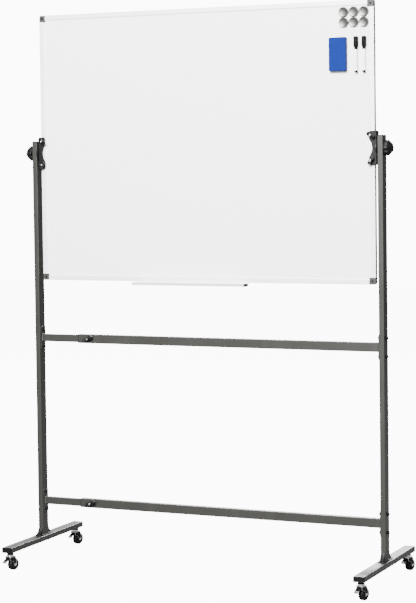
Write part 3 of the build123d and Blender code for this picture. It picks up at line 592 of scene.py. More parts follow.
FINISHES = {
    finish.name: finish.build()
    for finish in (
        PowderCoat("charcoal_powder_coat", (0.0086, 0.0084, 0.0070), (0.024, 0.023, 0.020),
                   roughness=0.42),
        PowderCoat("black_powder_coat", (0.0018, 0.0018, 0.0017), (0.010, 0.010, 0.0095),
                   roughness=0.44, peel=0.3,
                   specular=0.18),
        MetalFinish("zinc_plate", (0.78, 0.79, 0.80), (0.52, 0.53, 0.55), roughness=0.24,
                    fine_scale=500.0),
        MetalFinish("blackened_steel", (0.0024, 0.0024, 0.0026), (0.0012, 0.0012, 0.0014),
                    roughness=0.38,
                    fine_scale=700.0, metallic=0.2, specular=0.2),
        MetalFinish("satin_aluminium_across", (0.92, 0.92, 0.925), (0.82, 0.825, 0.835), roughness=0.34,
                    stretch=(0.02, 1.0, 1.0), metallic=0.35),
        MetalFinish("satin_aluminium_upright", (0.92, 0.92, 0.925), (0.82, 0.825, 0.835),
                    roughness=0.34,
                    stretch=(1.0, 1.0, 0.02), metallic=0.35),
        MetalFinish("magnet_satin", (0.085, 0.086, 0.081), (0.055, 0.056, 0.053), roughness=0.34),
        MouldedPlastic("black_moulding", (0.0012, 0.0012, 0.0013), roughness=0.42, specular=0.16),
        MouldedPlastic("grey_moulding", (0.018, 0.0185, 0.0175), roughness=0.5, specular=0.3),
        MouldedPlastic("marker_white_gloss", (0.80, 0.80, 0.79), roughness=0.2, texture=0.03,
                       polish=0.1),
        MouldedPlastic("marker_black_gloss", (0.0009, 0.0009, 0.001), roughness=0.4, texture=0.08,
                       specular=0.07),
        RubberFinish("tyre_rubber", (0.0014, 0.0014, 0.0015), dust=(0.012, 0.0115, 0.011)),
        RubberFinish("pad_rubber", (0.004, 0.004, 0.004), dust=(0.02, 0.0195, 0.019)),
        WhiteboardLacquer("writing_lacquer"),
        FoamFinish("blue_foam", (0.0012, 0.0105, 0.098), (0.0009, 0.0078, 0.076)),
        FoamFinish("blue_felt", (0.003, 0.012, 0.07), (0.002, 0.008, 0.045), pore_scale=1500.0,
                   depth=0.8),
        FoamFinish("marker_felt", (0.02, 0.02, 0.02), (0.01, 0.01, 0.01)),
        BoardPaper("honeycomb_paper"),
    )
}


# ---------------------------------------------------------------- geometry node trees


@dataclass
class TreeRun:
    """Runs a geometry node tree once and keeps the result as a plain mesh."""

    tree: bpy.types.NodeTree

    def mesh(self, name: str, points: list[Vector], material: bpy.types.Material,
             facing: list[Vector] | None = None, **inputs: object) -> bpy.types.Mesh:
        """Evaluates the tree.

        Args:
            name: the mesh's name.
            points: where the tree's instances stand.
            material: given to the tree's Set Material node.
            facing: the direction that each instance faces.
            inputs: the tree's named inputs, as words joined by underscores.

        Returns:
            The plain mesh, faces outwards.
        """
        seed = bpy.data.meshes.new(name + "_points")
        seed.from_pydata([tuple(p) for p in points], [], [])
        if facing:
            directions = seed.attributes.new("facing", "FLOAT_VECTOR", "POINT")
            directions.data.foreach_set("vector", [c for v in facing for c in v])
        holder = bpy.data.objects.new(name + "_holder", seed)
        bpy.context.scene.collection.objects.link(holder)
        modifier = holder.modifiers.new("make", "NODES")
        modifier.node_group = self.tree
        identifiers = {item.name: item.identifier for item in self.tree.interface.items_tree
                       if item.item_type == "SOCKET" and item.in_out == "INPUT"}
        spoken = {key.replace("_", " ").title(): value for key, value in inputs.items()}
        for key, value in {**spoken, "Material": material}.items():
            modifier[identifiers[key]] = value
        bpy.context.view_layer.update()
        graph = bpy.context.evaluated_depsgraph_get()
        plain = bpy.data.meshes.new_from_object(holder.evaluated_get(graph))
        bpy.data.objects.remove(holder)
        bm = bmesh.new()
        bm.from_mesh(plain)
        bpy.data.meshes.remove(plain)
        return finish_mesh(bm, name)


def start_tree(name: str) -> GroupBuilder:
    """Starts a geometry node tree that takes points and gives a mesh."""
    pen = GroupBuilder(name, "GeometryNodeTree")
    pen.input("Geometry", "NodeSocketGeometry")
    pen.output("Geometry", "NodeSocketGeometry")
    pen.input("Material", "NodeSocketMaterial")
    return pen


def end_tree(pen: GroupBuilder, shape: bpy.types.NodeSocket) -> bpy.types.NodeTree:
    """Ends a tree in Realize Instances and Set Material."""
    real = pen.node("GeometryNodeRealizeInstances", {0: shape})
    dressed = pen.node("GeometryNodeSetMaterial",
                       {"Geometry": real.outputs[0], "Material": pen.given("Material")})
    pen.give("Geometry", dressed.outputs[0])
    return pen.tree


def build_fastener_tree() -> bpy.types.NodeTree:
    """Screws and bolts: a domed or hexagonal head with a hexagonal recess, on a plain shank."""
    pen = start_tree("fasteners")
    for name, value in (("Head Radius", 0.005), ("Head Height", 0.005), ("Dome", 0.001),
                        ("Shank Radius", 0.003),
                        ("Shank Length", 0.02), ("Recess Radius", 0.0025), ("Recess Depth", 0.002)):
        pen.input(name, "NodeSocketFloat", value)
    pen.input("Head Facets", "NodeSocketInt", 32)
    head_radius, height, dome = pen.given("Head Radius"), pen.given("Head Height"), pen.given("Dome")
    shank, length = pen.given("Shank Radius"), pen.given("Shank Length")
    shoulder = pen.math("SUBTRACT", height, dome)
    bottom = pen.math("MULTIPLY", length, -1.0)
    tip = pen.math("MULTIPLY", shank, 0.8)
    tip_start = pen.math("ADD", bottom, pen.math("MULTIPLY", shank, 0.25))
    rings = ((0.0, height), (pen.math("MULTIPLY", head_radius, 0.55), height),
             (pen.math("MULTIPLY", head_radius, 0.88),
              pen.math("SUBTRACT", height, pen.math("MULTIPLY", dome, 0.35))),
             (head_radius, shoulder), (head_radius, pen.math("MULTIPLY", height, 0.08)),
             (pen.math("MULTIPLY", head_radius, 0.96), 0.0), (shank, 0.0), (shank, tip_start),
             (tip, bottom),
             (0.0, bottom))
    facets = pen.math("ADD", pen.given("Head Facets"), 1.0)
    sheet = pen.node("GeometryNodeMeshGrid", {"Size X": 1.0, "Size Y": 1.0, "Vertices X": facets,
                                              "Vertices Y": len(rings)})
    place = pen.node("ShaderNodeSeparateXYZ", {0: pen.node("GeometryNodeInputPosition").outputs[0]})
    turn = pen.math("MULTIPLY", pen.math("ADD", place.outputs["X"], 0.5), 2 * math.pi)
    ring = pen.math("ROUND",
                    pen.math("MULTIPLY", pen.math("ADD", place.outputs["Y"], 0.5), len(rings) - 1.0))
    chosen = []
    for part in (0, 1):
        pick = pen.node("GeometryNodeIndexSwitch", data_type="FLOAT")
        while len(pick.index_switch_items) < len(rings):
            pick.index_switch_items.new()
        pen.feed(pick.inputs["Index"], ring)
        for number, values in enumerate(rings):
            pen.feed(pick.inputs[number + 1], values[part])
        chosen.append(pick.outputs[0])
    spot = pen.node("ShaderNodeCombineXYZ",
                    {0: pen.math("MULTIPLY", chosen[0], pen.math("COSINE", turn)),
                                             1: pen.math("MULTIPLY", chosen[0], pen.math("SINE", turn)),
                                             2: chosen[1]})
    turned = pen.node("GeometryNodeSetPosition",
                      {"Geometry": sheet.outputs["Mesh"], "Position": spot.outputs[0]})
    whole = pen.node("GeometryNodeMergeByDistance", {"Geometry": turned.outputs[0], "Distance": 1e-6})
    recess = pen.node("GeometryNodeMeshCylinder", {"Vertices": 6, "Radius": pen.given("Recess Radius"),
                                                   "Depth": pen.math("MULTIPLY",
                                                                     pen.given("Recess Depth"), 2.0)})
    lifted = pen.node("GeometryNodeTransform", {"Geometry": recess.outputs["Mesh"],
                                                "Translation": pen.node("ShaderNodeCombineXYZ",
                                                                        {2: height}).outputs[0]})
    cut = pen.node("GeometryNodeMeshBoolean", {"Mesh 1": whole.outputs[0]}, operation="DIFFERENCE",
                   solver="EXACT")
    pen.tree.links.new(lifted.outputs[0], cut.inputs["Mesh 2"])
    facing = pen.node("GeometryNodeInputNamedAttribute", {"Name": "facing"}, data_type="FLOAT_VECTOR")
    aim = pen.node("FunctionNodeAlignRotationToVector", {"Vector": facing.outputs[0]}, axis="Z")
    spread = pen.node("GeometryNodeInstanceOnPoints",
                      {"Points": pen.given("Geometry"), "Instance": cut.outputs[0],
                                                       "Rotation": aim.outputs[0]})
    return end_tree(pen, spread.outputs[0])


def build_weld_tree() -> bpy.types.NodeTree:
    """A rippled weld bead round a rectangular tube, one for each point."""
    pen = start_tree("weld_beads")
    pen.input("Width", "NodeSocketFloat", 0.018)
    pen.input("Depth", "NodeSocketFloat", 0.038)
    pen.input("Bead", "NodeSocketFloat", 0.0016)
    path = pen.node("GeometryNodeCurvePrimitiveQuadrilateral", {"Width": pen.given("Width"),
                                                                "Height": pen.given("Depth")})
    rounded = pen.node("GeometryNodeFilletCurve",
                       {"Curve": path.outputs[0], "Radius": 0.002, "Count": 4}, mode="POLY")
    steps = pen.node("GeometryNodeResampleCurve", {"Curve": rounded.outputs[0], "Length": 0.0006},
                     mode="LENGTH")
    number = pen.node("GeometryNodeInputIndex")
    ripple = pen.math("ADD", 1.0,
                      pen.math("MULTIPLY",
                               pen.math("SINE", pen.math("MULTIPLY", number.outputs[0], 1.55)),
                                           0.16))
    sized = pen.node("GeometryNodeSetCurveRadius", {"Curve": steps.outputs[0], "Radius": ripple})
    ridge = pen.node("GeometryNodeCurvePrimitiveCircle", {"Resolution": 6, "Radius": pen.given("Bead")})
    swept = pen.node("GeometryNodeCurveToMesh",
                     {"Curve": sized.outputs[0], "Profile Curve": ridge.outputs[0],
                                                 "Scale": ripple})
    facing = pen.node("GeometryNodeInputNamedAttribute", {"Name": "facing"}, data_type="FLOAT_VECTOR")
    aim = pen.node("FunctionNodeAlignRotationToVector", {"Vector": facing.outputs[0]}, axis="Z")
    spread = pen.node("GeometryNodeInstanceOnPoints",
                      {"Points": pen.given("Geometry"), "Instance": swept.outputs[0],
                                                       "Rotation": aim.outputs[0]})
    return end_tree(pen, spread.outputs[0])


FASTENERS = TreeRun(build_fastener_tree())
WELDS = TreeRun(build_weld_tree())


# ---------------------------------------------------------------- camera and studio


@dataclass(frozen=True)
class SideCamera:
    """The main camera, to the right of the board's front and a little above its middle."""

    place: tuple[float, float, float] = (2.53484, -5.62326, 1.34104)
    turn: float = math.radians(24.0)
    drop: float = 0.04897
    roll: float = -0.0125
    lens: float = 111.73
    shift: tuple[float, float] = (-0.0075, -0.0710)

    def build(self) -> bpy.types.Object:
        """Returns the camera, made the scene's own."""
        right = Vector((math.cos(self.turn), math.sin(self.turn), 0.0))
        ahead = Vector((-math.sin(self.turn) * math.cos(self.drop),
                        math.cos(self.turn) * math.cos(self.drop),
                        -math.sin(self.drop)))
        above = right.cross(ahead)
        level = math.cos(self.roll) * right + math.sin(self.roll) * above
        upright = math.cos(self.roll) * above - math.sin(self.roll) * right
        data = bpy.data.cameras.new("main_camera")
        data.lens = self.lens
        data.sensor_width = 36.0
        data.shift_x, data.shift_y = self.shift
        data.dof.use_dof = False
        data.clip_end = 60.0
        camera = bpy.data.objects.new("main_camera", data)
        camera.matrix_world = Matrix.Translation(self.place) @ Matrix((level, upright,
                                                                       -ahead)).transposed().to_4x4()
        bpy.context.scene.collection.objects.link(camera)
        bpy.context.scene.camera = camera
        return camera


@dataclass(frozen=True)
class SoftBox:
    """A large soft lamp aimed at a point of the object."""

    name: str
    place: tuple[float, float, float]
    aim: tuple[float, float, float]
    size: tuple[float, float]
    power: float

    def build(self) -> bpy.types.Object:
        """Returns the lamp."""
        data = bpy.data.lights.new(self.name, "AREA")
        data.shape = "RECTANGLE"
        data.size, data.size_y = self.size
        data.energy = self.power
        lamp = bpy.data.objects.new(self.name, data)
        lamp.location = self.place
        lamp.rotation_euler = (Vector(self.aim) - Vector(self.place)).to_track_quat("-Z",
                                                                                    "Y").to_euler()
        bpy.context.scene.collection.objects.link(lamp)
        return lamp


@dataclass
class Studio:
    """A pale floor under an even white sky, with soft lamps.

    The floor and sky look brighter to the camera than the light that they give.
    """

    floor_half: float = 14.0
    sky: float = 0.32
    backdrop: float = 11.0
    floor_glow: float = 10.5
    floor_dark: Colour = (0.12, 0.12, 0.12)
    floor_light: Colour = (0.135, 0.135, 0.135)
    lamps: tuple[SoftBox, ...] = (
        SoftBox("key_box", (0.6, -5.6, 4.2), (0.0, 0.0, 1.0), (3.2, 2.2), 2900.0),
        SoftBox("top_box", (0.4, -0.5, 5.2), (0.0, 0.0, 1.0), (3.5, 2.5), 150.0),
        SoftBox("back_box", (-1.2, 5.4, 4.0), (0.0, 0.0, 1.2), (3.0, 2.0), 1300.0),
    )

    def build(self) -> None:
        """Makes the floor, the sky and the lamps."""
        world = bpy.data.worlds.new("white_sky")
        world.use_nodes = True
        backdrop = world.node_tree.nodes["Background"]
        backdrop.inputs["Color"].default_value = (1.0, 1.0, 1.0, 1.0)
        backdrop.inputs["Strength"].default_value = self.sky
        seen = world.node_tree.nodes.new("ShaderNodeLightPath")
        strength = world.node_tree.nodes.new("ShaderNodeMapRange")
        strength.inputs["To Min"].default_value = self.sky
        strength.inputs["To Max"].default_value = self.backdrop
        world.node_tree.links.new(seen.outputs["Is Camera Ray"], strength.inputs["Value"])
        world.node_tree.links.new(strength.outputs[0], backdrop.inputs["Strength"])
        bpy.context.scene.world = world
        mesh = bpy.data.meshes.new("floor")
        half = self.floor_half
        mesh.from_pydata([(-half, -half, 0), (half, -half, 0), (half, half, 0), (-half, half, 0)], [],
                         [(0, 1, 2, 3)])
        pen = MaterialPen("pale_floor")
        grain = pen.group(GRAIN, fine_scale=300.0, broad_scale=1.5)
        pen.set(base_color=pen.between(grain.outputs["Broad"], self.floor_dark, self.floor_light),
                roughness=pen.ranged(grain.outputs["Fine"], 0.8, 0.95), specular=0.1)
        seen = pen.node("ShaderNodeLightPath").outputs["Is Camera Ray"]
        pen.set(emission_color=(1.0, 1.0, 1.0, 1.0),
                emission_strength=pen.math("MULTIPLY", seen, self.floor_glow))
        mesh.materials.append(pen.material)
        floor = bpy.data.objects.new("floor", mesh)
        bpy.context.scene.collection.objects.link(floor)
        for lamp in self.lamps:
            lamp.build()


# ---------------------------------------------------------------- stand


class Side(Enum):
    """The two sides of the stand, with the way that each one faces."""

    LEFT = -1
    RIGHT = 1

    @property
    def word(self) -> str:
        """The side's word in node names."""
        return self.name.lower()

    @property
    def outward(self) -> Vector:
        """The way out from the middle of the stand."""
        return Vector((self.value, 0.0, 0.0))


@dataclass
class StandTubes:
    """Uprights, feet and telescopic crossbars in powder-coated tube, with weld beads between."""

    bead: float = 1.5 * MM
    shoe_top: float = 83.0 * MM

    def dress(self) -> None:
        """Gives the tubes and their plates their paint."""
        dress(FINISHES["charcoal_powder_coat"], "upright_left", "upright_right", "foot_left",
              "foot_right",
              "crossbar_outer_upper", "crossbar_outer_lower", "crossbar_flanges",
              "crossbar_inner_upper", "crossbar_inner_lower")
        dress(FINISHES["black_moulding"], "crossbar_sleeves")

    def beads(self) -> None:
        """Lays weld beads where uprights meet shoes and where crossbars meet flanges."""
        paint = FINISHES["charcoal_powder_coat"]
        feet = [Vector((centre_of(f"upright_{side.word}").x, 0.0, self.shoe_top)) for side in Side]
        low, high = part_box("upright_left")
        mesh = WELDS.mesh("shoe_welds", feet, paint, facing=[Vector((0, 0, 1))] * len(feet),
                          width=high.x - low.x, depth=high.y - low.y, bead=self.bead)
        add_piece(mesh, "shoe_welds", paint, "stand")
        for kind, edge in (("outer", 1), ("inner", 0)):
            ends = []
            for level in ("upper", "lower"):
                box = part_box(f"crossbar_{kind}_{level}")
                ends.append(Vector((box[edge].x, 0.0, (box[0].z + box[1].z) / 2)))
            deep, tall = box[1].y - box[0].y, box[1].z - box[0].z
            way = Vector((1.0 if edge else -1.0, 0.0, 0.0))
            spots = [spot - way * self.bead * 0.5 for spot in ends]
            mesh = WELDS.mesh(f"crossbar_welds_{kind}", spots, paint, facing=[way] * 2,
                              width=tall, depth=deep, bead=self.bead)
            add_piece(mesh, f"crossbar_welds_{kind}", paint, "stand")


@dataclass
class EndCaps:
    """Moulded caps in the open ends of the uprights and feet."""

    head: float = 2.0 * MM
    corner: float = 2.2 * MM
    plug: float = 12.0 * MM
    plug_inset: float = 1.8 * MM
    dimple: float = 0.5 * MM

    def cap(self, bm: bmesh.types.BMesh, wide: float, narrow: float, place: Matrix) -> None:
        """Adds one cap: a plug, a head and a shallow sunk field."""
        steps = [(wide - 2 * self.plug_inset, narrow - 2 * self.plug_inset, 0.8 * MM, -self.plug),
                 (wide - 2 * self.plug_inset, narrow - 2 * self.plug_inset, 0.8 * MM, 0.0),
                 (wide, narrow, self.corner, 0.02 * MM), (wide, narrow, self.corner, self.head * 0.45),
                 (wide - 0.35 * MM, narrow - 0.35 * MM, self.corner, self.head * 0.78),
                 (wide - 1.3 * MM, narrow - 1.3 * MM, self.corner - 0.4 * MM, self.head),
                 (wide - 6 * MM, narrow - 6 * MM, 1.2 * MM, self.head),
                 (wide - 6.8 * MM, narrow - 6.8 * MM, 0.9 * MM, self.head - self.dimple)]
        loops = []
        for across_x, across_y, radius, height in steps:
            outline = rounded_outline(across_x, across_y, radius)
            loops.append([bm.verts.new(place @ Vector((x, y, height))) for x, y in outline])
        for low, high in zip(loops, loops[1:]):
            for k in range(len(low)):
                following = (k + 1) % len(low)
                bm.faces.new([low[k], low[following], high[following], high[k]])
        bm.faces.new(loops[0])
        bm.faces.new(loops[-1])

    def build(self) -> None:
        """Makes all six caps as one piece."""
        bm = bmesh.new()
        for side in Side:
            low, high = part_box(f"upright_{side.word}")
            middle = Vector(((low.x + high.x) / 2, (low.y + high.y) / 2, high.z))
            self.cap(bm, high.x - low.x, high.y - low.y,
                     basis(middle, Vector((1, 0, 0)), Vector((0, 0, 1))))
            low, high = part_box(f"foot_{side.word}")
            for y, way in ((low.y, -1), (high.y, 1)):
                mouth = Vector(((low.x + high.x) / 2, y, (low.z + high.z) / 2))
                self.cap(bm, high.x - low.x, high.z - low.z,
                         basis(mouth, Vector((1, 0, 0)), Vector((0, way, 0))))
        add_piece(finish_mesh(bm, "end_caps"), "end_caps", FINISHES["black_moulding"], "stand",
                  ("tube_end_caps",))


@dataclass
class FootShoes:
    """Plates under the uprights, each with a ribbed gusset in front and behind."""

    plate: float = 3.0 * MM
    width: float = 26.0 * MM
    length: float = 80.0 * MM
    gusset_width: float = 14.0 * MM
    gusset_height: float = 28.0 * MM
    tube_half: float = 19.15 * MM
    toe_height: float = 4.0 * MM
    ribs: int = 3
    rib_proud: float = 0.9 * MM
    rib_width: float = 1.8 * MM

    def gusset(self, bm: bmesh.types.BMesh, middle: Vector, way: int) -> None:
        """Adds one swept gusset with ribs down its slope."""
        heel, toe = self.tube_half, self.length / 2 - 1.5 * MM
        top = self.gusset_height
        curve = [(heel + (toe - heel) * t, self.toe_height + (top - self.toe_height) * (1 - t) ** 1.6)
                 for t in (k / 8 for k in range(9))]
        outline = [(heel, 0.0), *curve, (toe, 0.0)]
        side_plane = basis(middle - Vector((self.gusset_width / 2, 0, 0)), Vector((0, way, 0)),
                           Vector((1, 0, 0)))
        if way < 0:
            side_plane = basis(middle + Vector((self.gusset_width / 2, 0, 0)), Vector((0, way, 0)),
                               Vector((-1, 0, 0)))
        prism(bm, outline, self.gusset_width, side_plane)
        spacing = self.gusset_width / self.ribs
        for k in range(self.ribs):
            start = (k + 0.5) * spacing - self.rib_width / 2
            raised = [(heel, 0.0), *((y, z + self.rib_proud) for y, z in curve),
                      (toe + self.rib_proud * 0.6, 0.0)]
            prism(bm, raised, self.rib_width, side_plane @ Matrix.Translation((0, 0, start)))

    def build(self) -> None:
        """Makes both shoes as one piece."""
        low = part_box("foot_shoes")[0]
        bm = bmesh.new()
        for side in Side:
            middle = Vector((centre_of(f"upright_{side.word}").x, 0.0, low.z))
            part = bmesh.new()
            prism(part, rounded_outline(self.width, self.length, 4 * MM), self.plate,
                  Matrix.Translation(middle))
            soften(part, 0.7 * MM)
            for way in (-1, 1):
                wedge = bmesh.new()
                self.gusset(wedge, middle + Vector((0, 0, self.plate)), way)
                soften(wedge, 0.35 * MM)
                merge(part, wedge)
            merge(bm, part)
        add_piece(finish_mesh(bm, "shoes"), "shoes", FINISHES["black_powder_coat"], "stand",
                  ("foot_shoes",))


def merge(into: bmesh.types.BMesh, part: bmesh.types.BMesh) -> None:
    """Adds a whole shape to another and frees it."""
    carrier = bpy.data.meshes.new("carrier")
    part.to_mesh(carrier)
    part.free()
    into.from_mesh(carrier)
    bpy.data.meshes.remove(carrier)


@dataclass
class StandFasteners:
    """Bolts, nuts and their thread ends on the stand."""

    flange_pitch: float = 60.0 * MM
    head_radius: float = 5.5 * MM
    head_height: float = 6.5 * MM
    shank: float = 3.0 * MM
    nut_radius: float = 6.0 * MM
    nut_height: float = 5.0 * MM
    tip: float = 2.0 * MM
    flange: float = 3.0 * MM
    head_dome: float = 0.8 * MM
    thread_root: float = 0.93
    recess_radius: float = 2.9 * MM
    recess_depth: float = 3.5 * MM

    def flange_seats(self) -> list[tuple[Vector, Vector]]:
        """Returns where each cap head sits and the way that it faces."""
        seats = []
        for side in Side:
            low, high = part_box(f"upright_{side.word}")
            x = high.x if side is Side.RIGHT else low.x
            for level in ("upper", "lower"):
                z = centre_of(f"crossbar_outer_{level}").z
                seats += [(Vector((x, 0, z + step * self.flange_pitch / 2)),
                           side.outward) for step in (-1, 1)]
        return seats

    def nut(self, bm: bmesh.types.BMesh, place: Matrix, radius: float, height: float,
            bore: float) -> None:
        """Adds a chamfered hexagon nut that rises along local z."""
        flat = radius * math.cos(math.radians(30))
        loops = []
        for reach, z in ((0.90, 0.0), (1.0, 0.09), (1.0, 0.91), (0.90, 1.0)):
            loop = []
            for k in range(24):
                turn = 2 * math.pi * k / 24
                hexagon = flat / math.cos((turn + math.pi / 6) % (math.pi / 3) - math.pi / 6)
                loop.append(bm.verts.new(place @ Vector((min(hexagon, radius * reach) * math.cos(turn),
                                                         min(hexagon, radius * reach) * math.sin(turn),
                                                         z * height))))
            loops.append(loop)
        for z in (1.0, 0.0):
            loops.append([bm.verts.new(place @ Vector((bore * math.cos(2 * math.pi * k / 24),
                                                       bore * math.sin(2 * math.pi * k / 24),
                                                       z * height)))
                          for k in range(24)])
        loops.append(loops[0])
        for low, high in zip(loops, loops[1:]):
            for k in range(24):
                following = (k + 1) % 24
                bm.faces.new([low[k], low[following], high[following], high[k]])

    def build(self) -> None:
        """Makes the bolts, nuts and thread ends."""
        black = FINISHES["blackened_steel"]
        seats = self.flange_seats()
        inner_face = abs(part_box("crossbar_flanges")[0].x) - self.flange
        seat_x = abs(seats[0][0].x)
        shank_length = seat_x - (inner_face - self.nut_height - self.tip)
        mesh = FASTENERS.mesh("flange_bolt_set", [spot for spot, _ in seats], black,
                              facing=[way for _, way in seats], head_radius=self.head_radius,
                              head_height=self.head_height, dome=self.head_dome,
                              shank_radius=self.shank * self.thread_root, shank_length=shank_length,
                              recess_radius=self.recess_radius, recess_depth=self.recess_depth)
        add_piece(mesh, "flange_bolt_set", black, "stand", ("flange_bolts",))
        bm = bmesh.new()
        for spot, way in seats:
            place = basis(Vector((way.x * inner_face, spot.y, spot.z)), Vector((0, 0, 1)), -way)
            self.nut(bm, place, self.nut_radius, self.nut_height, self.shank)
        add_piece(finish_mesh(bm, "flange_nut_set"), "flange_nut_set", black, "stand",
                  ("flange_nuts",))


@dataclass
class WingScrew:
    """A steel screw with a moulded wing that is ribbed for grip."""

    node: str
    body: str
    tilt: float
    half_span: float
    lobe: float = 7.0 * MM
    web: float = 3.4 * MM
    hub_radius: float = 6.0 * MM
    hub_length: float = 10.0 * MM
    lift: float = 2.0 * MM
    thickness: float = 5.0 * MM
    screw_radius: float = 3.0 * MM
    button_radius: float = 3.3 * MM
    button: float = 1.5 * MM
    grip_ribs: int = 4

    def place(self) -> Matrix:
        """Returns the wing's own axes: x along the wing, z towards the hand."""
        low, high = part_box(self.node)
        hub_start = low.y + self.button + self.hub_length
        middle = Vector(((low.x + high.x) / 2, hub_start, (low.z + high.z) / 2))
        tilt = math.radians(self.tilt)
        return basis(middle, Vector((math.cos(tilt), 0, math.sin(tilt))), Vector((0, -1, 0)))

    def outline(self) -> list[tuple[float, float]]:
        """Returns the wing's outline, two round lobes on a waisted web."""
        lobe_x = self.half_span - self.lobe
        right = arc_points((lobe_x, 0.0), self.lobe - 0.02 * MM, -128.0, 128.0, 22)
        left = [(-x, -y) for x, y in right]
        return right + [(0.0, self.web + 1.6 * MM)] + left + [(0.0, -self.web - 1.6 * MM)]

    def build(self) -> None:
        """Makes the wing and the screw."""
        place = self.place()
        wing = bmesh.new()
        prism(wing, self.outline(), self.thickness, place @ Matrix.Translation((0, 0, self.lift)))
        soften(wing, 1.1 * MM, segments=3)
        hub = [(self.screw_radius + 0.02 * MM, 0.0), (self.hub_radius - 0.4 * MM, 0.0),
               (self.hub_radius, 0.4 * MM), (self.hub_radius, self.lift),
               (self.hub_radius - 0.3 * MM, self.hub_length - 1.0 * MM),
               (self.hub_radius - 1.0 * MM, self.hub_length),
               (self.screw_radius + 0.02 * MM, self.hub_length)]
        lathe(wing, hub, place, 36)
        for end in (-1, 1):
            for k in range(self.grip_ribs):
                x = end * (self.half_span - 2.6 * MM - k * 1.9 * MM)
                reach = math.sqrt(max(0.0,
                                      (self.lobe - 1.3 * MM) ** 2 - (abs(x) - self.half_span + self.lobe) ** 2))
                rib = bmesh.new()
                prism(rib, rounded_outline(0.8 * MM, 2 * reach, 0.35 * MM, 2),
                      self.thickness + 0.7 * MM,
                      place @ Matrix.Translation((x, 0, self.lift - 0.35 * MM)))
                merge(wing, rib)
        mesh = finish_mesh(wing, f"{self.node}_wing")
        add_piece(mesh, f"{self.node}_wing", FINISHES["black_moulding"], self.body,
                  (self.node,))
        low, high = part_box(self.node)
        tip = high.y - (low.y + self.button + self.hub_length)
        screw = bmesh.new()
        crown = self.hub_length + self.button
        profile = [(0.0, -tip), (self.screw_radius * 0.72, -tip), (self.screw_radius, -tip + 0.8 * MM),
                   (self.screw_radius, self.hub_length), (self.button_radius, self.hub_length),
                   (self.button_radius, self.hub_length + self.button * 0.5),
                   (self.button_radius - 0.6 * MM, crown), (1.6 * MM, crown),
                   (1.3 * MM, crown - 0.5 * MM), (0.0, crown - 0.5 * MM)]
        lathe(screw, profile, place, 32)
        add_piece(finish_mesh(screw, f"{self.node}_steel"), f"{self.node}_steel",
                  FINISHES["zinc_plate"],
                  self.body)


@dataclass
class CrossbarLocks:
    """The two telescope locks: a welded nut on each outer tube and a wing screw in it."""

    nut_radius: float = 8.0 * MM
    nut_height: float = 5.0 * MM
    bore: float = 3.06 * MM
    tilts: dict[str, float] = field(default_factory=lambda: {"upper": 28.0, "lower": 20.0})

    def build(self) -> None:
        """Makes the nuts and the wing screws."""
        bm = bmesh.new()
        maker = StandFasteners()
        x = centre_of("crossbar_lock_nuts").x
        for level in self.tilts:
            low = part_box(f"crossbar_outer_{level}")[0]
            place = basis(Vector((x, low.y, centre_of(f"crossbar_outer_{level}").z)), Vector((1, 0, 0)),
                          Vector((0, -1, 0)))
            maker.nut(bm, place, self.nut_radius, self.nut_height, self.bore)
        add_piece(finish_mesh(bm, "lock_nuts"), "lock_nuts", FINISHES["blackened_steel"], "stand",
                  ("crossbar_lock_nuts",))
        for level, tilt in self.tilts.items():
            WingScrew(f"crossbar_screw_{level}", f"crossbar_screw_{level}", tilt, 20.0 * MM).build()


# ---------------------------------------------------------------- board


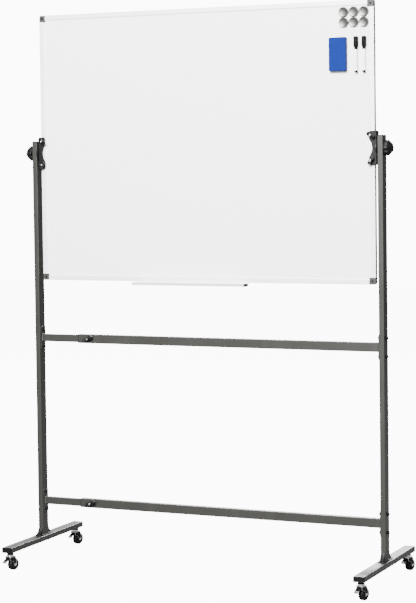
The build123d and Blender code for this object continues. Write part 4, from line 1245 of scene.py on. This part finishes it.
@dataclass
class BoardPanel:
    """The double-sided panel in its aluminium frame, with moulded corners and their screws."""

    screw_head: float = 3.6 * MM
    screw_rise: float = 1.2 * MM
    rail_margin: float = 22.0 * MM
    # The next five fields size the dark strips that paint shade on the side rails' outer faces.
    shade_strip_width: float = 14.6 * MM
    shade_strip_thickness: float = 0.5 * MM
    shade_strip_sunk: float = 0.7
    shade_strip_gap: float = 1.0 * MM
    shade_strip_corner: float = 1.0 * MM

    def dress(self) -> None:
        """Gives the panel, rails and corners their finishes."""
        dress(FINISHES["writing_lacquer"], "writing_sheet_front", "writing_sheet_back")
        dress(FINISHES["honeycomb_paper"], "board_core")
        dress(FINISHES["satin_aluminium_across"], "frame_rail_top", "frame_rail_bottom")
        dress(FINISHES["satin_aluminium_upright"], "frame_rail_left", "frame_rail_right")
        dress(FINISHES["grey_moulding"], "frame_corners")

    def build(self) -> None:
        """Makes the dark strips that paint shade on the side rails, and the screws in the corners and under the
        tray.
        """
        low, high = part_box("frame_corners")
        middle = self.rail_margin / 2
        spots, ways = [], []
        for x in (low.x + middle, high.x - middle):
            for z in (low.z + middle, high.z - middle):
                for y, way in ((low.y, -1), (high.y, 1)):
                    spots.append(Vector((x, y, z)))
                    ways.append(Vector((0, way, 0)))
        tray_low, tray_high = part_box("pen_tray")
        tray_middle, reach = (tray_low.x + tray_high.x) / 2, (tray_high.x - tray_low.x) * 0.4
        for step in (-1, 0, 1):
            spots.append(Vector((tray_middle + step * reach, 0.0, tray_high.z - 1.5 * MM)))
            ways.append(Vector((0, 0, -1)))
        finish = FINISHES["blackened_steel"]
        # dark strips that paint the shade on the side rails' outer faces
        self.channels()
        mesh = FASTENERS.mesh("small_screws", spots, finish, facing=ways, head_radius=self.screw_head,
                              head_height=self.screw_rise, dome=0.7 * MM, shank_radius=1.9 * MM,
                              shank_length=1.4 * MM, recess_radius=1.5 * MM, recess_depth=0.8 * MM)
        add_piece(mesh, "small_screws", finish, "board", ("frame_screws",))

    def channels(self) -> None:
        """Makes dark strips on the outer faces of the two side rails: painted shade, standing in for the shade
        that falls on these faces.
        """
        bm = bmesh.new()
        for side in Side:
            low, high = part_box(f"frame_rail_{side.word}")
            middle, run = (low + high) / 2, high.z - low.z
            face = (high.x - low.x) / 2 - self.shade_strip_thickness * self.shade_strip_sunk
            place = basis(middle + side.outward * face, Vector((0, 0, 1)), side.outward)
            strip = bmesh.new()
            prism(strip,
                  rounded_outline(run - self.shade_strip_gap, self.shade_strip_width, self.shade_strip_corner, 3),
                  self.shade_strip_thickness, place)
            merge(bm, strip)
        add_piece(finish_mesh(bm, "shade_strips"), "shade_strips", FINISHES["black_moulding"], "board")


@dataclass
class PenTray:
    """The folded aluminium trough and its moulded ends."""

    cap: float = 3.0 * MM
    skin: float = 0.7 * MM
    edge: float = 0.45 * MM
    field_edge: float = 0.4 * MM

    def dress(self) -> None:
        """Gives the trough its finish."""
        dress(FINISHES["satin_aluminium_across"], "pen_tray")

    def build(self) -> None:
        """Makes both end caps with a sunk field inside a rim."""
        low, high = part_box("tray_end_caps")
        outline = [(low.y + 0.2 * MM, high.z - 0.15 * MM), (low.y + 5.3 * MM, low.z + 0.2 * MM),
                   (high.y - 4.2 * MM, low.z + 0.2 * MM), (high.y - 0.2 * MM, high.z - 1.7 * MM),
                   (high.y - 4.0 * MM, high.z - 3.0 * MM)]
        corners = len(outline)
        middle = Vector((sum(y for y, _ in outline) / corners, sum(z for _, z in outline) / corners))
        bm = bmesh.new()
        for x, way in ((low.x + self.cap, -1), (high.x - self.cap, 1)):
            place = basis(Vector((x, 0, 0)), Vector((0, 1, 0)), Vector((way, 0, 0)))
            flip = 1 if way > 0 else -1
            part = bmesh.new()
            prism(part, [(y, flip * z) for y, z in outline], self.cap - self.skin, place)
            soften(part, self.edge)
            merge(bm, part)
            for scale, height in ((0.97, self.cap - 0.05 * MM), (0.42, self.cap - 0.25 * MM)):
                raised = bmesh.new()
                points = [(middle.x + (y - middle.x) * scale, middle.y + (z - middle.y) * scale)
                          for y, z in outline]
                prism(raised, [(y, flip * z) for y, z in points], height * 0.6,
                      place @ Matrix.Translation((0, 0, height * 0.4)))
                soften(raised, self.field_edge)
                merge(bm, raised)
        add_piece(finish_mesh(bm, "tray_ends"), "tray_ends", FINISHES["grey_moulding"], "board",
                  ("tray_end_caps",))


@dataclass
class EdgeClamp:
    """A waisted pressed clamp on one edge of the board, with its pivot, knob and wing screws."""

    side: Side
    rivet: float = 3.0 * MM
    rivet_rise: float = 1.2 * MM
    waist_inset: float = 16.5 * MM
    front_face: float = -14.0 * MM
    back_face: float = 13.0 * MM
    lobes: int = 8
    flute: float = 3.0 * MM
    ripple: float = 0.28 * MM
    bore: float = 8.02 * MM
    bore_depth: float = 17.9 * MM
    insert: float = 7.98 * MM
    insert_length: float = 17.6 * MM
    thread: float = 4.06 * MM
    tilts: dict[str, float] = field(default_factory=lambda: {"upper": -35.0, "lower": 60.0})

    def dress(self) -> None:
        """Gives the clamp its finish."""
        dress(FINISHES["black_powder_coat"], f"edge_clamp_{self.side.word}")

    def rivets(self) -> None:
        """Makes the domed rivets at the clamp's waist, front and back."""
        low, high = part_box(f"edge_clamp_{self.side.word}")
        sheet_x = low.x + self.waist_inset if self.side is Side.RIGHT else high.x - self.waist_inset
        z = (low.z + high.z) / 2
        bm = bmesh.new()
        for y, way in ((self.front_face, -1), (self.back_face, 1)):
            dome = [(0.0, -0.4 * MM), (self.rivet, -0.4 * MM), (self.rivet, 0.25 * MM),
                    (self.rivet * 0.85, self.rivet_rise * 0.7), (self.rivet * 0.5, self.rivet_rise),
                    (0.0, self.rivet_rise * 1.04)]
            lathe(bm, dome, basis(Vector((sheet_x, y, z)), Vector((1, 0, 0)), Vector((0, way, 0))), 28)
        name = f"clamp_rivets_{self.side.word}"
        add_piece(finish_mesh(bm, name), name, FINISHES["blackened_steel"], "board")

    def knob(self) -> None:
        """Makes the lobed grip with fine ridges on its lobes and a sunk disc in its nose."""
        node = f"knob_{self.side.word}"
        low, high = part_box(node)
        start = low.x if self.side is Side.RIGHT else high.x
        length = high.x - low.x
        middle = Vector((start, (low.y + high.y) / 2, (low.z + high.z) / 2))
        place = basis(middle, Vector((0, 1, 0)), self.side.outward)
        rings = [(8.02, 0.0, 0.0), (22.0, 0.0, 0.7), (23.6, 0.5, 1.0), (24.6, 1.6, 1.0),
                 (24.9, 3.0, 1.0),
                 (24.9, 7.0, 1.0), (24.9, 11.0, 1.0), (24.7, 12.8, 1.0), (24.0, 14.0, 1.0),
                 (23.0, 15.1, 0.95),
                 (18.9, 19.4, 0.55), (14.6, 23.6, 0.18), (13.4, 24.6, 0.05), (12.4, 25.0, 0.0),
                 (10.6, 25.0, 0.0),
                 (10.2, 24.4, 0.0), (7.0, 24.2, 0.0), (3.0, 24.5, 0.0)]
        steps = self.lobes * 18
        bm = bmesh.new()
        loops = []
        for radius, height, depth in rings:
            loop = []
            for k in range(steps):
                turn = 2 * math.pi * k / steps
                phase = (1 - math.cos(self.lobes * turn)) / 2
                sink = self.flute * depth * phase ** 2.2
                ridge = self.ripple * depth * math.cos(5 * self.lobes * turn) * (1 - phase) ** 0.5
                reach = radius * MM - sink + (ridge - self.ripple * depth)
                loop.append(bm.verts.new(place @ Vector((reach * math.cos(turn), reach * math.sin(turn),
                                                         min(height * MM, length)))))
            loops.append(loop)
        for near, far in zip(loops, loops[1:]):
            for k in range(steps):
                following = (k + 1) % steps
                bm.faces.new([near[k], near[following], far[following], far[k]])
        bm.faces.new(loops[-1])
        turns = [2 * math.pi * k / steps for k in range(steps)]
        bore = [bm.verts.new(place @ Vector((self.bore * math.cos(turn), self.bore * math.sin(turn),
                                             self.bore_depth))) for turn in turns]
        for k in range(steps):
            following = (k + 1) % steps
            bm.faces.new([loops[0][k], loops[0][following], bore[following], bore[k]])
        bm.faces.new(bore)
        name = f"{node}_grip"
        add_piece(finish_mesh(bm, name), name, FINISHES["black_moulding"], node,
                  (node,))
        insert = bmesh.new()
        lathe(insert, [(self.thread, 0.0), (self.insert - 0.38 * MM, 0.0), (self.insert, 0.4 * MM),
                       (self.insert, self.insert_length), (self.thread, self.insert_length)], place, 40)
        add_piece(finish_mesh(insert, f"{node}_insert"), f"{node}_insert", FINISHES["zinc_plate"], node)

    def build(self) -> None:
        """Makes the rivets, the knob and both wing screws."""
        self.rivets()
        self.knob()
        for level, tilt in self.tilts.items():
            name = f"clamp_screw_{self.side.word}_{level}"
            WingScrew(name, name, tilt, 15.0 * MM).build()


# ---------------------------------------------------------------- casters


@dataclass
class Caster:
    """A swivel caster with a pressed fork, a rubber tyre and a brake pedal."""

    end: str
    side: Side
    turn: float = math.radians(-15.0)
    stem_y: float = 230.0 * MM
    trail: float = 13.0 * MM
    wheel: float = 20.0 * MM
    half_width: float = 9.0 * MM
    leg_outer: float = 11.3 * MM
    leg: float = 1.5 * MM
    plate_top: float = 48.9 * MM
    plate: float = 2.0 * MM
    cover: float = 0.7 * MM
    pin: tuple[float, float] = (-8.0 * MM, 38.0 * MM)
    spokes: int = 6

    @property
    def name(self) -> str:
        """The caster's place, as used in node names."""
        return f"{self.end}_{self.side.word}"

    def frame(self, along_axle: float = 0.0) -> Matrix:
        """Returns side-view axes: x along the trail, y up, z along the axle."""
        axle = Vector((math.cos(self.turn), math.sin(self.turn), 0.0))
        trail = Vector((-math.sin(self.turn), math.cos(self.turn), 0.0))
        stem_x = centre_of(f"foot_{self.side.word}").x
        stem_y = self.stem_y * (-1 if self.end == "front" else 1)
        return basis(Vector((stem_x, stem_y, 0.0)) + axle * along_axle, trail, axle)

    def leg_outline(self) -> list[tuple[float, float]]:
        """Returns the swept side of the fork, in metres."""
        mm = [(-12.0, 48.9), (12.0, 48.9), (15.2, 44.6), (17.4, 39.6), (18.6, 34.0), (19.2, 28.0),
              (19.0, 20.0)]
        eye = [(13.0 + 6.0 * math.cos(math.radians(a)), 20.0 + 6.0 * math.sin(math.radians(a)))
               for a in range(-10, -171, -16)]
        back = [(7.0, 20.5), (6.2, 24.0), (4.4, 28.0), (1.4, 31.4), (-2.6, 33.0), (-8.0, 33.5),
                (-12.0, 38.0)]
        return [(x * MM, y * MM) for x, y in mm + eye + back]

    def fork(self) -> None:
        """Makes the pressed fork, the axle and the pedal's pin."""
        bm = bmesh.new()
        for start in (-self.leg_outer, self.leg_outer - self.leg):
            leg = bmesh.new()
            prism(leg, self.leg_outline(), self.leg, self.frame(start))
            soften(leg, 0.4 * MM)
            merge(bm, leg)
        top = bmesh.new()
        level = self.frame() @ Matrix.Rotation(math.radians(-90), 4, "X")
        outline = rounded_outline(24.0 * MM, 2 * self.leg_outer, 2.6 * MM)
        prism(top, outline, self.plate, level @ Matrix.Translation((0, 0, self.plate_top - self.plate)))
        soften(top, 0.5 * MM)
        merge(bm, top)
        pins = (((self.trail, self.wheel), 3.0 * MM, 4.8 * MM, 1.4 * MM),
                (self.pin, 2.0 * MM, 2.4 * MM, 0.0))
        for (x, y), radius, head, rise in pins:
            reach = self.leg_outer
            spot = self.frame() @ Matrix.Translation((x, y, 0.0))
            profile = [(0.0, -reach - rise), (radius * 0.9, -reach - rise), (head, -reach - rise * 0.4),
                       (head, -reach), (radius, -reach), (radius, reach), (head, reach),
                       (head, reach + rise * 0.4), (radius * 0.9, reach + rise), (0.0, reach + rise)]
            lathe(bm, profile, spot, 24)
        node = f"caster_fork_{self.name}"
        add_piece(finish_mesh(bm, f"{node}_pressing"), f"{node}_pressing", FINISHES["zinc_plate"],
                  f"caster_{self.name}", (node,))

    def covers(self) -> None:
        """Makes the moulded covers on the outer faces of the fork's legs, short of its top edge."""
        mm = [(-11.2, 45.4), (11.6, 45.4), (13.4, 42.6), (15.2, 38.8), (16.3, 33.6), (16.9, 28.0),
              (16.9, 21.0)]
        eye = [(13.0 + 4.6 * math.cos(math.radians(a)), 20.0 + 4.6 * math.sin(math.radians(a)))
               for a in range(-10, -171, -20)]
        front = [(7.6, 20.5), (6.8, 24.2), (4.8, 28.4), (1.6, 31.9), (-2.5, 33.6), (-7.7, 34.1),
                 (-11.2, 38.2)]
        outline = [(x * MM, y * MM) for x, y in mm + eye + front]
        bm = bmesh.new()
        for start in (-self.leg_outer - self.cover, self.leg_outer):
            skin = bmesh.new()
            prism(skin, outline, self.cover, self.frame(start))
            soften(skin, 0.25 * MM)
            merge(bm, skin)
        name = f"caster_covers_{self.name}"
        add_piece(finish_mesh(bm, name), name, FINISHES["black_moulding"], f"caster_{self.name}")

    def tyre(self) -> None:
        """Makes the tyre with two fine tread grooves, and the spoked centre."""
        half, out = self.half_width, self.wheel
        spot = self.frame() @ Matrix.Translation((self.trail, self.wheel, 0.0))
        side_profile = [(13.02 * MM, -half + 0.5 * MM), (13.6 * MM, -half), (16.3 * MM, -half),
                        (17.8 * MM, -half + 0.45 * MM), (19.0 * MM, -half + 1.4 * MM),
                        (19.75 * MM, -half + 2.7 * MM),
                        (out, -half + 3.9 * MM)]
        groove = [(out, -2.6 * MM), (19.6 * MM, -2.45 * MM), (19.6 * MM, -2.05 * MM), (out, -1.9 * MM)]
        mirrored = [(r, -z) for r, z in reversed(side_profile + groove)]
        bm = bmesh.new()
        lathe(bm, side_profile + groove + mirrored, spot, 64)
        node = f"caster_wheel_{self.name}"
        body = f"wheel_{self.name}"
        add_piece(finish_mesh(bm, f"{node}_tyre"), f"{node}_tyre", FINISHES["tyre_rubber"], body,
                  (node,))
        centre = bmesh.new()
        sunk = half - 2.6 * MM
        profile = [(3.1 * MM, -half), (5.6 * MM, -half), (6.0 * MM, -half + 0.4 * MM),
                   (6.1 * MM, -sunk),
                   (11.4 * MM, -sunk), (11.5 * MM, -half + 0.4 * MM), (11.9 * MM, -half),
                   (13.0 * MM, -half + 0.3 * MM)]
        lathe(centre, profile + [(r, -z) for r, z in reversed(profile)], spot, 48)
        for k in range(self.spokes):
            turn = Matrix.Rotation(2 * math.pi * k / self.spokes, 4, "Z")
            for low in (-half + 0.7 * MM, sunk - 0.2 * MM):
                spoke = bmesh.new()
                prism(spoke, [(5.8 * MM, -0.9 * MM), (11.8 * MM, -1.3 * MM), (11.8 * MM, 1.3 * MM),
                              (5.8 * MM, 0.9 * MM)], half - sunk - 0.5 * MM,
                      spot @ turn @ Matrix.Translation((0, 0, low)))
                soften(spoke, 0.3 * MM)
                merge(centre, spoke)
        add_piece(finish_mesh(centre, f"{node}_centre"), f"{node}_centre", FINISHES["black_moulding"],
                  body)

    def pedal(self) -> None:
        """Makes the moulded hood on the pin and the bright toe plate in front of it."""
        pin_x, pin_y = self.pin
        body, node = f"pedal_{self.name}", f"caster_pedal_{self.name}"
        hood = bmesh.new()
        outline = [(pin_x + x * MM, pin_y + y * MM) for x, y in (
            (0.5, 4.4), (-3.0, 3.6), (-8.0, 1.9), (-14.0, -0.6), (-15.2, -1.5), (-14.4, -3.4),
            (-8.0, -0.8),
            (-3.4, -0.6), (-2.6, -2.6), (-1.0, -4.4), (1.0, -6.2), (3.2, -5.8), (4.1, -4.0),
            (3.6, -1.0),
            (3.5, 1.6), (2.2, 3.6))]
        prism(hood, outline, 2 * self.half_width - 0.1 * MM, self.frame(-self.half_width + 0.05 * MM))
        soften(hood, 0.8 * MM, segments=3)
        for k in range(4):
            rib = bmesh.new()
            x, y = pin_x - (6.4 + 2.1 * k) * MM, pin_y + (2.45 - 0.86 * k) * MM
            prism(rib, [(x, y - 0.9 * MM), (x - 0.8 * MM, y - 1.25 * MM), (x - 0.7 * MM, y + 0.28 * MM),
                        (x - 0.1 * MM, y + 0.5 * MM)], 13.0 * MM, self.frame(-6.5 * MM))
            soften(rib, 0.2 * MM)
            merge(hood, rib)
        add_piece(finish_mesh(hood, f"{node}_hood"), f"{node}_hood", FINISHES["black_moulding"], body,
                  (node,))
        toe = bmesh.new()
        plate = [(pin_x + x * MM, pin_y + y * MM) for x, y in (
            (-12.6, -1.6), (-15.4, -2.2), (-19.0, -4.9), (-22.9, -8.3), (-22.4, -9.4), (-21.4, -9.8),
            (-17.6, -6.4), (-14.2, -3.4), (-12.2, -2.6))]
        prism(toe, plate, 16.4 * MM, self.frame(-8.2 * MM))
        soften(toe, 0.4 * MM)
        add_piece(finish_mesh(toe, f"{node}_toe"), f"{node}_toe", FINISHES["zinc_plate"], body)

    def build(self) -> None:
        """Makes the whole caster."""
        self.fork()
        self.covers()
        self.tyre()
        self.pedal()


# ---------------------------------------------------------------- things held on the board


@dataclass
class Magnets:
    """Six round board magnets with a rim and a shallow dish."""

    radius: float = 16.3 * MM
    columns: int = 3
    rows: int = 2

    def build(self) -> None:
        """Makes all the magnets as one piece."""
        low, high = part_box("magnets")
        bm = bmesh.new()
        rise, out = high.y - low.y, self.radius
        profile = [(0.0, 0.0), (out - 0.5 * MM, 0.0), (out - 0.1 * MM, 0.5 * MM), (out, 1.0 * MM),
                   (out - 0.35 * MM, rise - 1.4 * MM), (out - 0.8 * MM, rise - 0.6 * MM),
                   (out - 1.3 * MM, rise - 0.12 * MM), (out - 1.9 * MM, rise),
                   (out - 2.6 * MM, rise - 0.12 * MM),
                   (out * 0.72, rise - 0.65 * MM), (out * 0.5, rise - 1.15 * MM),
                   (out * 0.25, rise - 1.45 * MM), (0.0, rise - 1.55 * MM)]
        for column in range(self.columns):
            for row in range(self.rows):
                x = low.x + out + (high.x - low.x - 2 * out) * column / (self.columns - 1)
                z = low.z + out + (high.z - low.z - 2 * out) * row / (self.rows - 1)
                lathe(bm, profile, basis(Vector((x, high.y, z)), Vector((1, 0, 0)), Vector((0, -1, 0))),
                      64)
        add_piece(finish_mesh(bm, "board_magnets"), "board_magnets", FINISHES["magnet_satin"], "board",
                  ("magnets",))


@dataclass
class Eraser:
    """A foam board eraser with a felt face, slightly worn along its edges."""

    corner: float = 5.0 * MM
    felt: float = 3.0 * MM
    edge: float = 3.0 * MM
    wave: float = 0.7 * MM

    def block(self, name: str, depths: list[tuple[float, float]], finish: str,
              replaces: tuple[str, ...]) -> None:
        """Makes one soft layer.

        Args:
            name: the piece's name.
            depths: (inset, distance from the board side) of each ring.
            finish: the name of its finish.
            replaces: the CAD nodes that it stands for.
        """
        low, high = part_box("eraser")
        wide, tall = high.x - low.x, high.z - low.z
        place = basis(Vector(((low.x + high.x) / 2, high.y, (low.z + high.z) / 2)), Vector((1, 0, 0)),
                      Vector((0, -1, 0)))
        bm = bmesh.new()
        loops = []
        for inset, depth in depths:
            outline = dense_outline(wide - 2 * inset, tall - 2 * inset,
                                    max(1.2 * MM, self.corner - inset * 0.5))
            loop = []
            for x, y in outline:
                swell = math.sin(y * 230.0 + 1.3) * math.cos(x * 90.0 + depth * 60.0)
                dent = self.wave * (0.5 + 0.5 * swell)
                pull = 1.0 - dent / max(wide, tall) * 2.0
                loop.append(bm.verts.new(place @ Vector((x * pull, y * (1 - dent / tall), depth))))
            loops.append(loop)
        for near, far in zip(loops, loops[1:]):
            for k in range(len(near)):
                following = (k + 1) % len(near)
                bm.faces.new([near[k], near[following], far[following], far[k]])
        bm.faces.new(loops[0])
        bm.faces.new(loops[-1])
        piece = add_piece(finish_mesh(bm, name, sharp=50.0), name, FINISHES[finish], "eraser",
                          replaces)

    def build(self) -> None:
        """Makes the felt face and the foam body."""
        low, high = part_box("eraser")
        deep = high.y - low.y
        self.block("eraser_face", [(1.4 * MM, 0.0), (0.5 * MM, 0.3 * MM), (0.4 * MM, 1.4 * MM),
                                   (0.5 * MM, self.felt - 0.3 * MM), (1.2 * MM, self.felt)],
                                   "blue_felt", ())
        body = [(0.9 * MM, self.felt), (0.1 * MM, self.felt + 0.5 * MM), (0.0, self.felt + 4.0 * MM),
                (0.0, deep * 0.5), (0.0, deep - self.edge - 1.0 * MM),
                (0.25 * MM, deep - self.edge * 0.7),
                (0.95 * MM, deep - self.edge * 0.3), (2.2 * MM, deep - 0.15 * MM), (4.0 * MM, deep),
                (9.0 * MM, deep), (20.0 * MM, deep)]
        self.block("eraser_body", body, "blue_foam", ("eraser",))


def dense_outline(width: float, height: float, radius: float,
                  pieces: int = 20) -> list[tuple[float, float]]:
    """Returns a rounded rectangle whose straight sides are cut into equal pieces."""
    per_corner = 7
    corners = rounded_outline(width, height, radius, per_corner - 1)
    points = []
    for number, ((x0, y0), (x1, y1)) in enumerate(zip(corners, corners[1:] + corners[:1])):
        cuts = pieces if number % per_corner == per_corner - 1 else 1
        points += [(x0 + (x1 - x0) * k / cuts, y0 + (y1 - y0) * k / cuts) for k in range(cuts)]
    return points


@dataclass
class Marker:
    """A whiteboard marker in a ribbed cap."""

    side: str
    radius: float = 5.5 * MM
    neck: float = 4.55 * MM
    plug: float = 6.0 * MM
    bore: float = 4.65 * MM
    ribs: int = 20
    rib_depth: float = 0.45 * MM

    def axis(self, z: float) -> Matrix:
        """Returns the marker's upright axis at a height."""
        middle = centre_of(f"marker_{self.side}")
        return Matrix.Translation((middle.x, middle.y, z))

    def barrel(self) -> None:
        """Makes the barrel with its bands, and the plug in its lower end."""
        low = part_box(f"marker_{self.side}")[0]
        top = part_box(f"marker_cap_{self.side}")[0].z - 0.3 * MM
        node, start = f"marker_{self.side}", low.z + self.plug
        length = top - start
        bm = bmesh.new()
        out = self.radius
        profile = [(0.0, 0.0), (out - 0.3 * MM, 0.0), (out, 0.3 * MM), (out, length * 0.12),
                   (out - 0.15 * MM, length * 0.125), (out - 0.15 * MM, length * 0.145),
                   (out, length * 0.15),
                   (out, length - 2.0 * MM), (out - 0.5 * MM, length), (self.neck, length),
                   (self.neck, length + 9.0 * MM), (self.neck - 1.0 * MM, length + 10.0 * MM),
                   (2.0 * MM, length + 10.0 * MM), (1.8 * MM, length + 16.0 * MM),
                   (1.0 * MM, length + 17.8 * MM),
                   (0.0, length + 18.0 * MM)]
        lathe(bm, profile, self.axis(start), 48)
        add_piece(finish_mesh(bm, f"{node}_barrel"), f"{node}_barrel", FINISHES["marker_white_gloss"],
                  node,
                  (node,))
        plug = bmesh.new()
        rings = [(0.0, 0.5 * MM), (out - 2.6 * MM, 0.5 * MM), (out - 2.4 * MM, 0.0),
                 (out - 1.4 * MM, 0.0),
                 (out - 0.4 * MM, 0.5 * MM), (out, 1.5 * MM), (out, self.plug - 0.4 * MM),
                 (out - 0.25 * MM, self.plug - 0.05 * MM), (0.0, self.plug - 0.05 * MM)]
        lathe(plug, rings, self.axis(low.z), 48)
        add_piece(finish_mesh(plug, f"{node}_plug"), f"{node}_plug", FINISHES["marker_black_gloss"],
                  node)

    def cap(self) -> None:
        """Makes the ribbed cap with its narrower collar."""
        node = f"marker_cap_{self.side}"
        low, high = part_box(node)
        length = high.z - low.z
        tall = length / MM
        rings = [(self.bore / MM, 0.0, 0.0), (5.1, 0.0, 0.0), (5.35, 0.3, 0.0), (5.4, 1.0, 0.0),
                 (5.4, 2.6, 0.0),
                 (5.15, 2.8, 0.0), (5.15, 3.3, 0.0), (5.4, 3.5, 0.0), (5.4, 8.0, 0.0), (5.9, 9.0, 0.2),
                 (7.2, 9.9, 0.6), (7.45, 10.6, 1.0), (7.5, 12.0, 1.0), (7.5, tall - 9.4, 1.0),
                 (7.3, tall - 9.1, 0.2), (7.3, tall - 8.5, 0.2), (7.5, tall - 8.2, 1.0),
                 (7.5, tall - 4.0, 1.0),
                 (7.35, tall - 1.8, 1.0), (6.9, tall - 0.7, 0.6), (5.8, tall - 0.1, 0.1),
                 (4.6, tall, 0.0),
                 (4.3, tall - 0.5, 0.0), (1.5, tall - 0.6, 0.0)]
        steps = self.ribs * 6
        bm = bmesh.new()
        loops = []
        axis = self.axis(low.z)
        for radius, height, depth in rings:
            loop = []
            for k in range(steps):
                turn = 2 * math.pi * k / steps
                wave = max(0.0, math.cos(self.ribs * turn)) ** 0.7
                reach = radius * MM - self.rib_depth * depth * wave
                loop.append(bm.verts.new(axis @ Vector((reach * math.cos(turn), reach * math.sin(turn),
                                                        height * MM))))
            loops.append(loop)
        inner = [bm.verts.new(axis @ Vector((self.bore * math.cos(2 * math.pi * k / steps),
                                             self.bore * math.sin(2 * math.pi * k / steps), 20.0 * MM)))
                 for k in range(steps)]
        for near, far in [*zip(loops, loops[1:]), (inner, loops[0])]:
            for k in range(steps):
                following = (k + 1) % steps
                bm.faces.new([near[k], near[following], far[following], far[k]])
        bm.faces.new(loops[-1])
        bm.faces.new(inner)
        add_piece(finish_mesh(bm, f"{node}_ribbed"), f"{node}_ribbed", FINISHES["marker_black_gloss"],
                  node,
                  (node,))

    def build(self) -> None:
        """Makes the barrel, its plug and the cap."""
        self.barrel()
        self.cap()


# ---------------------------------------------------------------- the whole


@dataclass
class SmallParts:
    """Plain turned parts that mostly stay out of sight, and only need their finishes."""

    finishes: dict[str, tuple[str, ...]] = field(default_factory=lambda: {
        "blackened_steel": ("foot_bolts",),
        "zinc_plate": ("caster_stems", "pivot_bolts"),
        "black_moulding": ("caster_sockets", "pivot_bushes"),
        "pad_rubber": ("clamp_pads",),
    })

    def dress(self) -> None:
        """Gives each part its finish."""
        for finish, nodes in self.finishes.items():
            dress(FINISHES[finish], *nodes)


def main() -> None:
    """Builds the camera, the studio and then every sub-assembly from the floor up."""
    logging.basicConfig(level=logging.INFO, format="%(name)s: %(message)s")
    SideCamera().build()
    Studio().build()
    tubes = StandTubes()
    tubes.dress()
    tubes.beads()
    EndCaps().build()
    FootShoes().build()
    StandFasteners().build()
    CrossbarLocks().build()
    SmallParts().dress()
    for end in ("front", "back"):
        for side in Side:
            Caster(end, side).build()
    panel = BoardPanel()
    panel.dress()
    panel.build()
    tray = PenTray()
    tray.dress()
    tray.build()
    for side in Side:
        clamp = EdgeClamp(side)
        clamp.dress()
        clamp.build()
    Magnets().build()
    Eraser().build()
    for side in ("left", "right"):
        Marker(side).build()


if __name__ == "__main__":
    main()
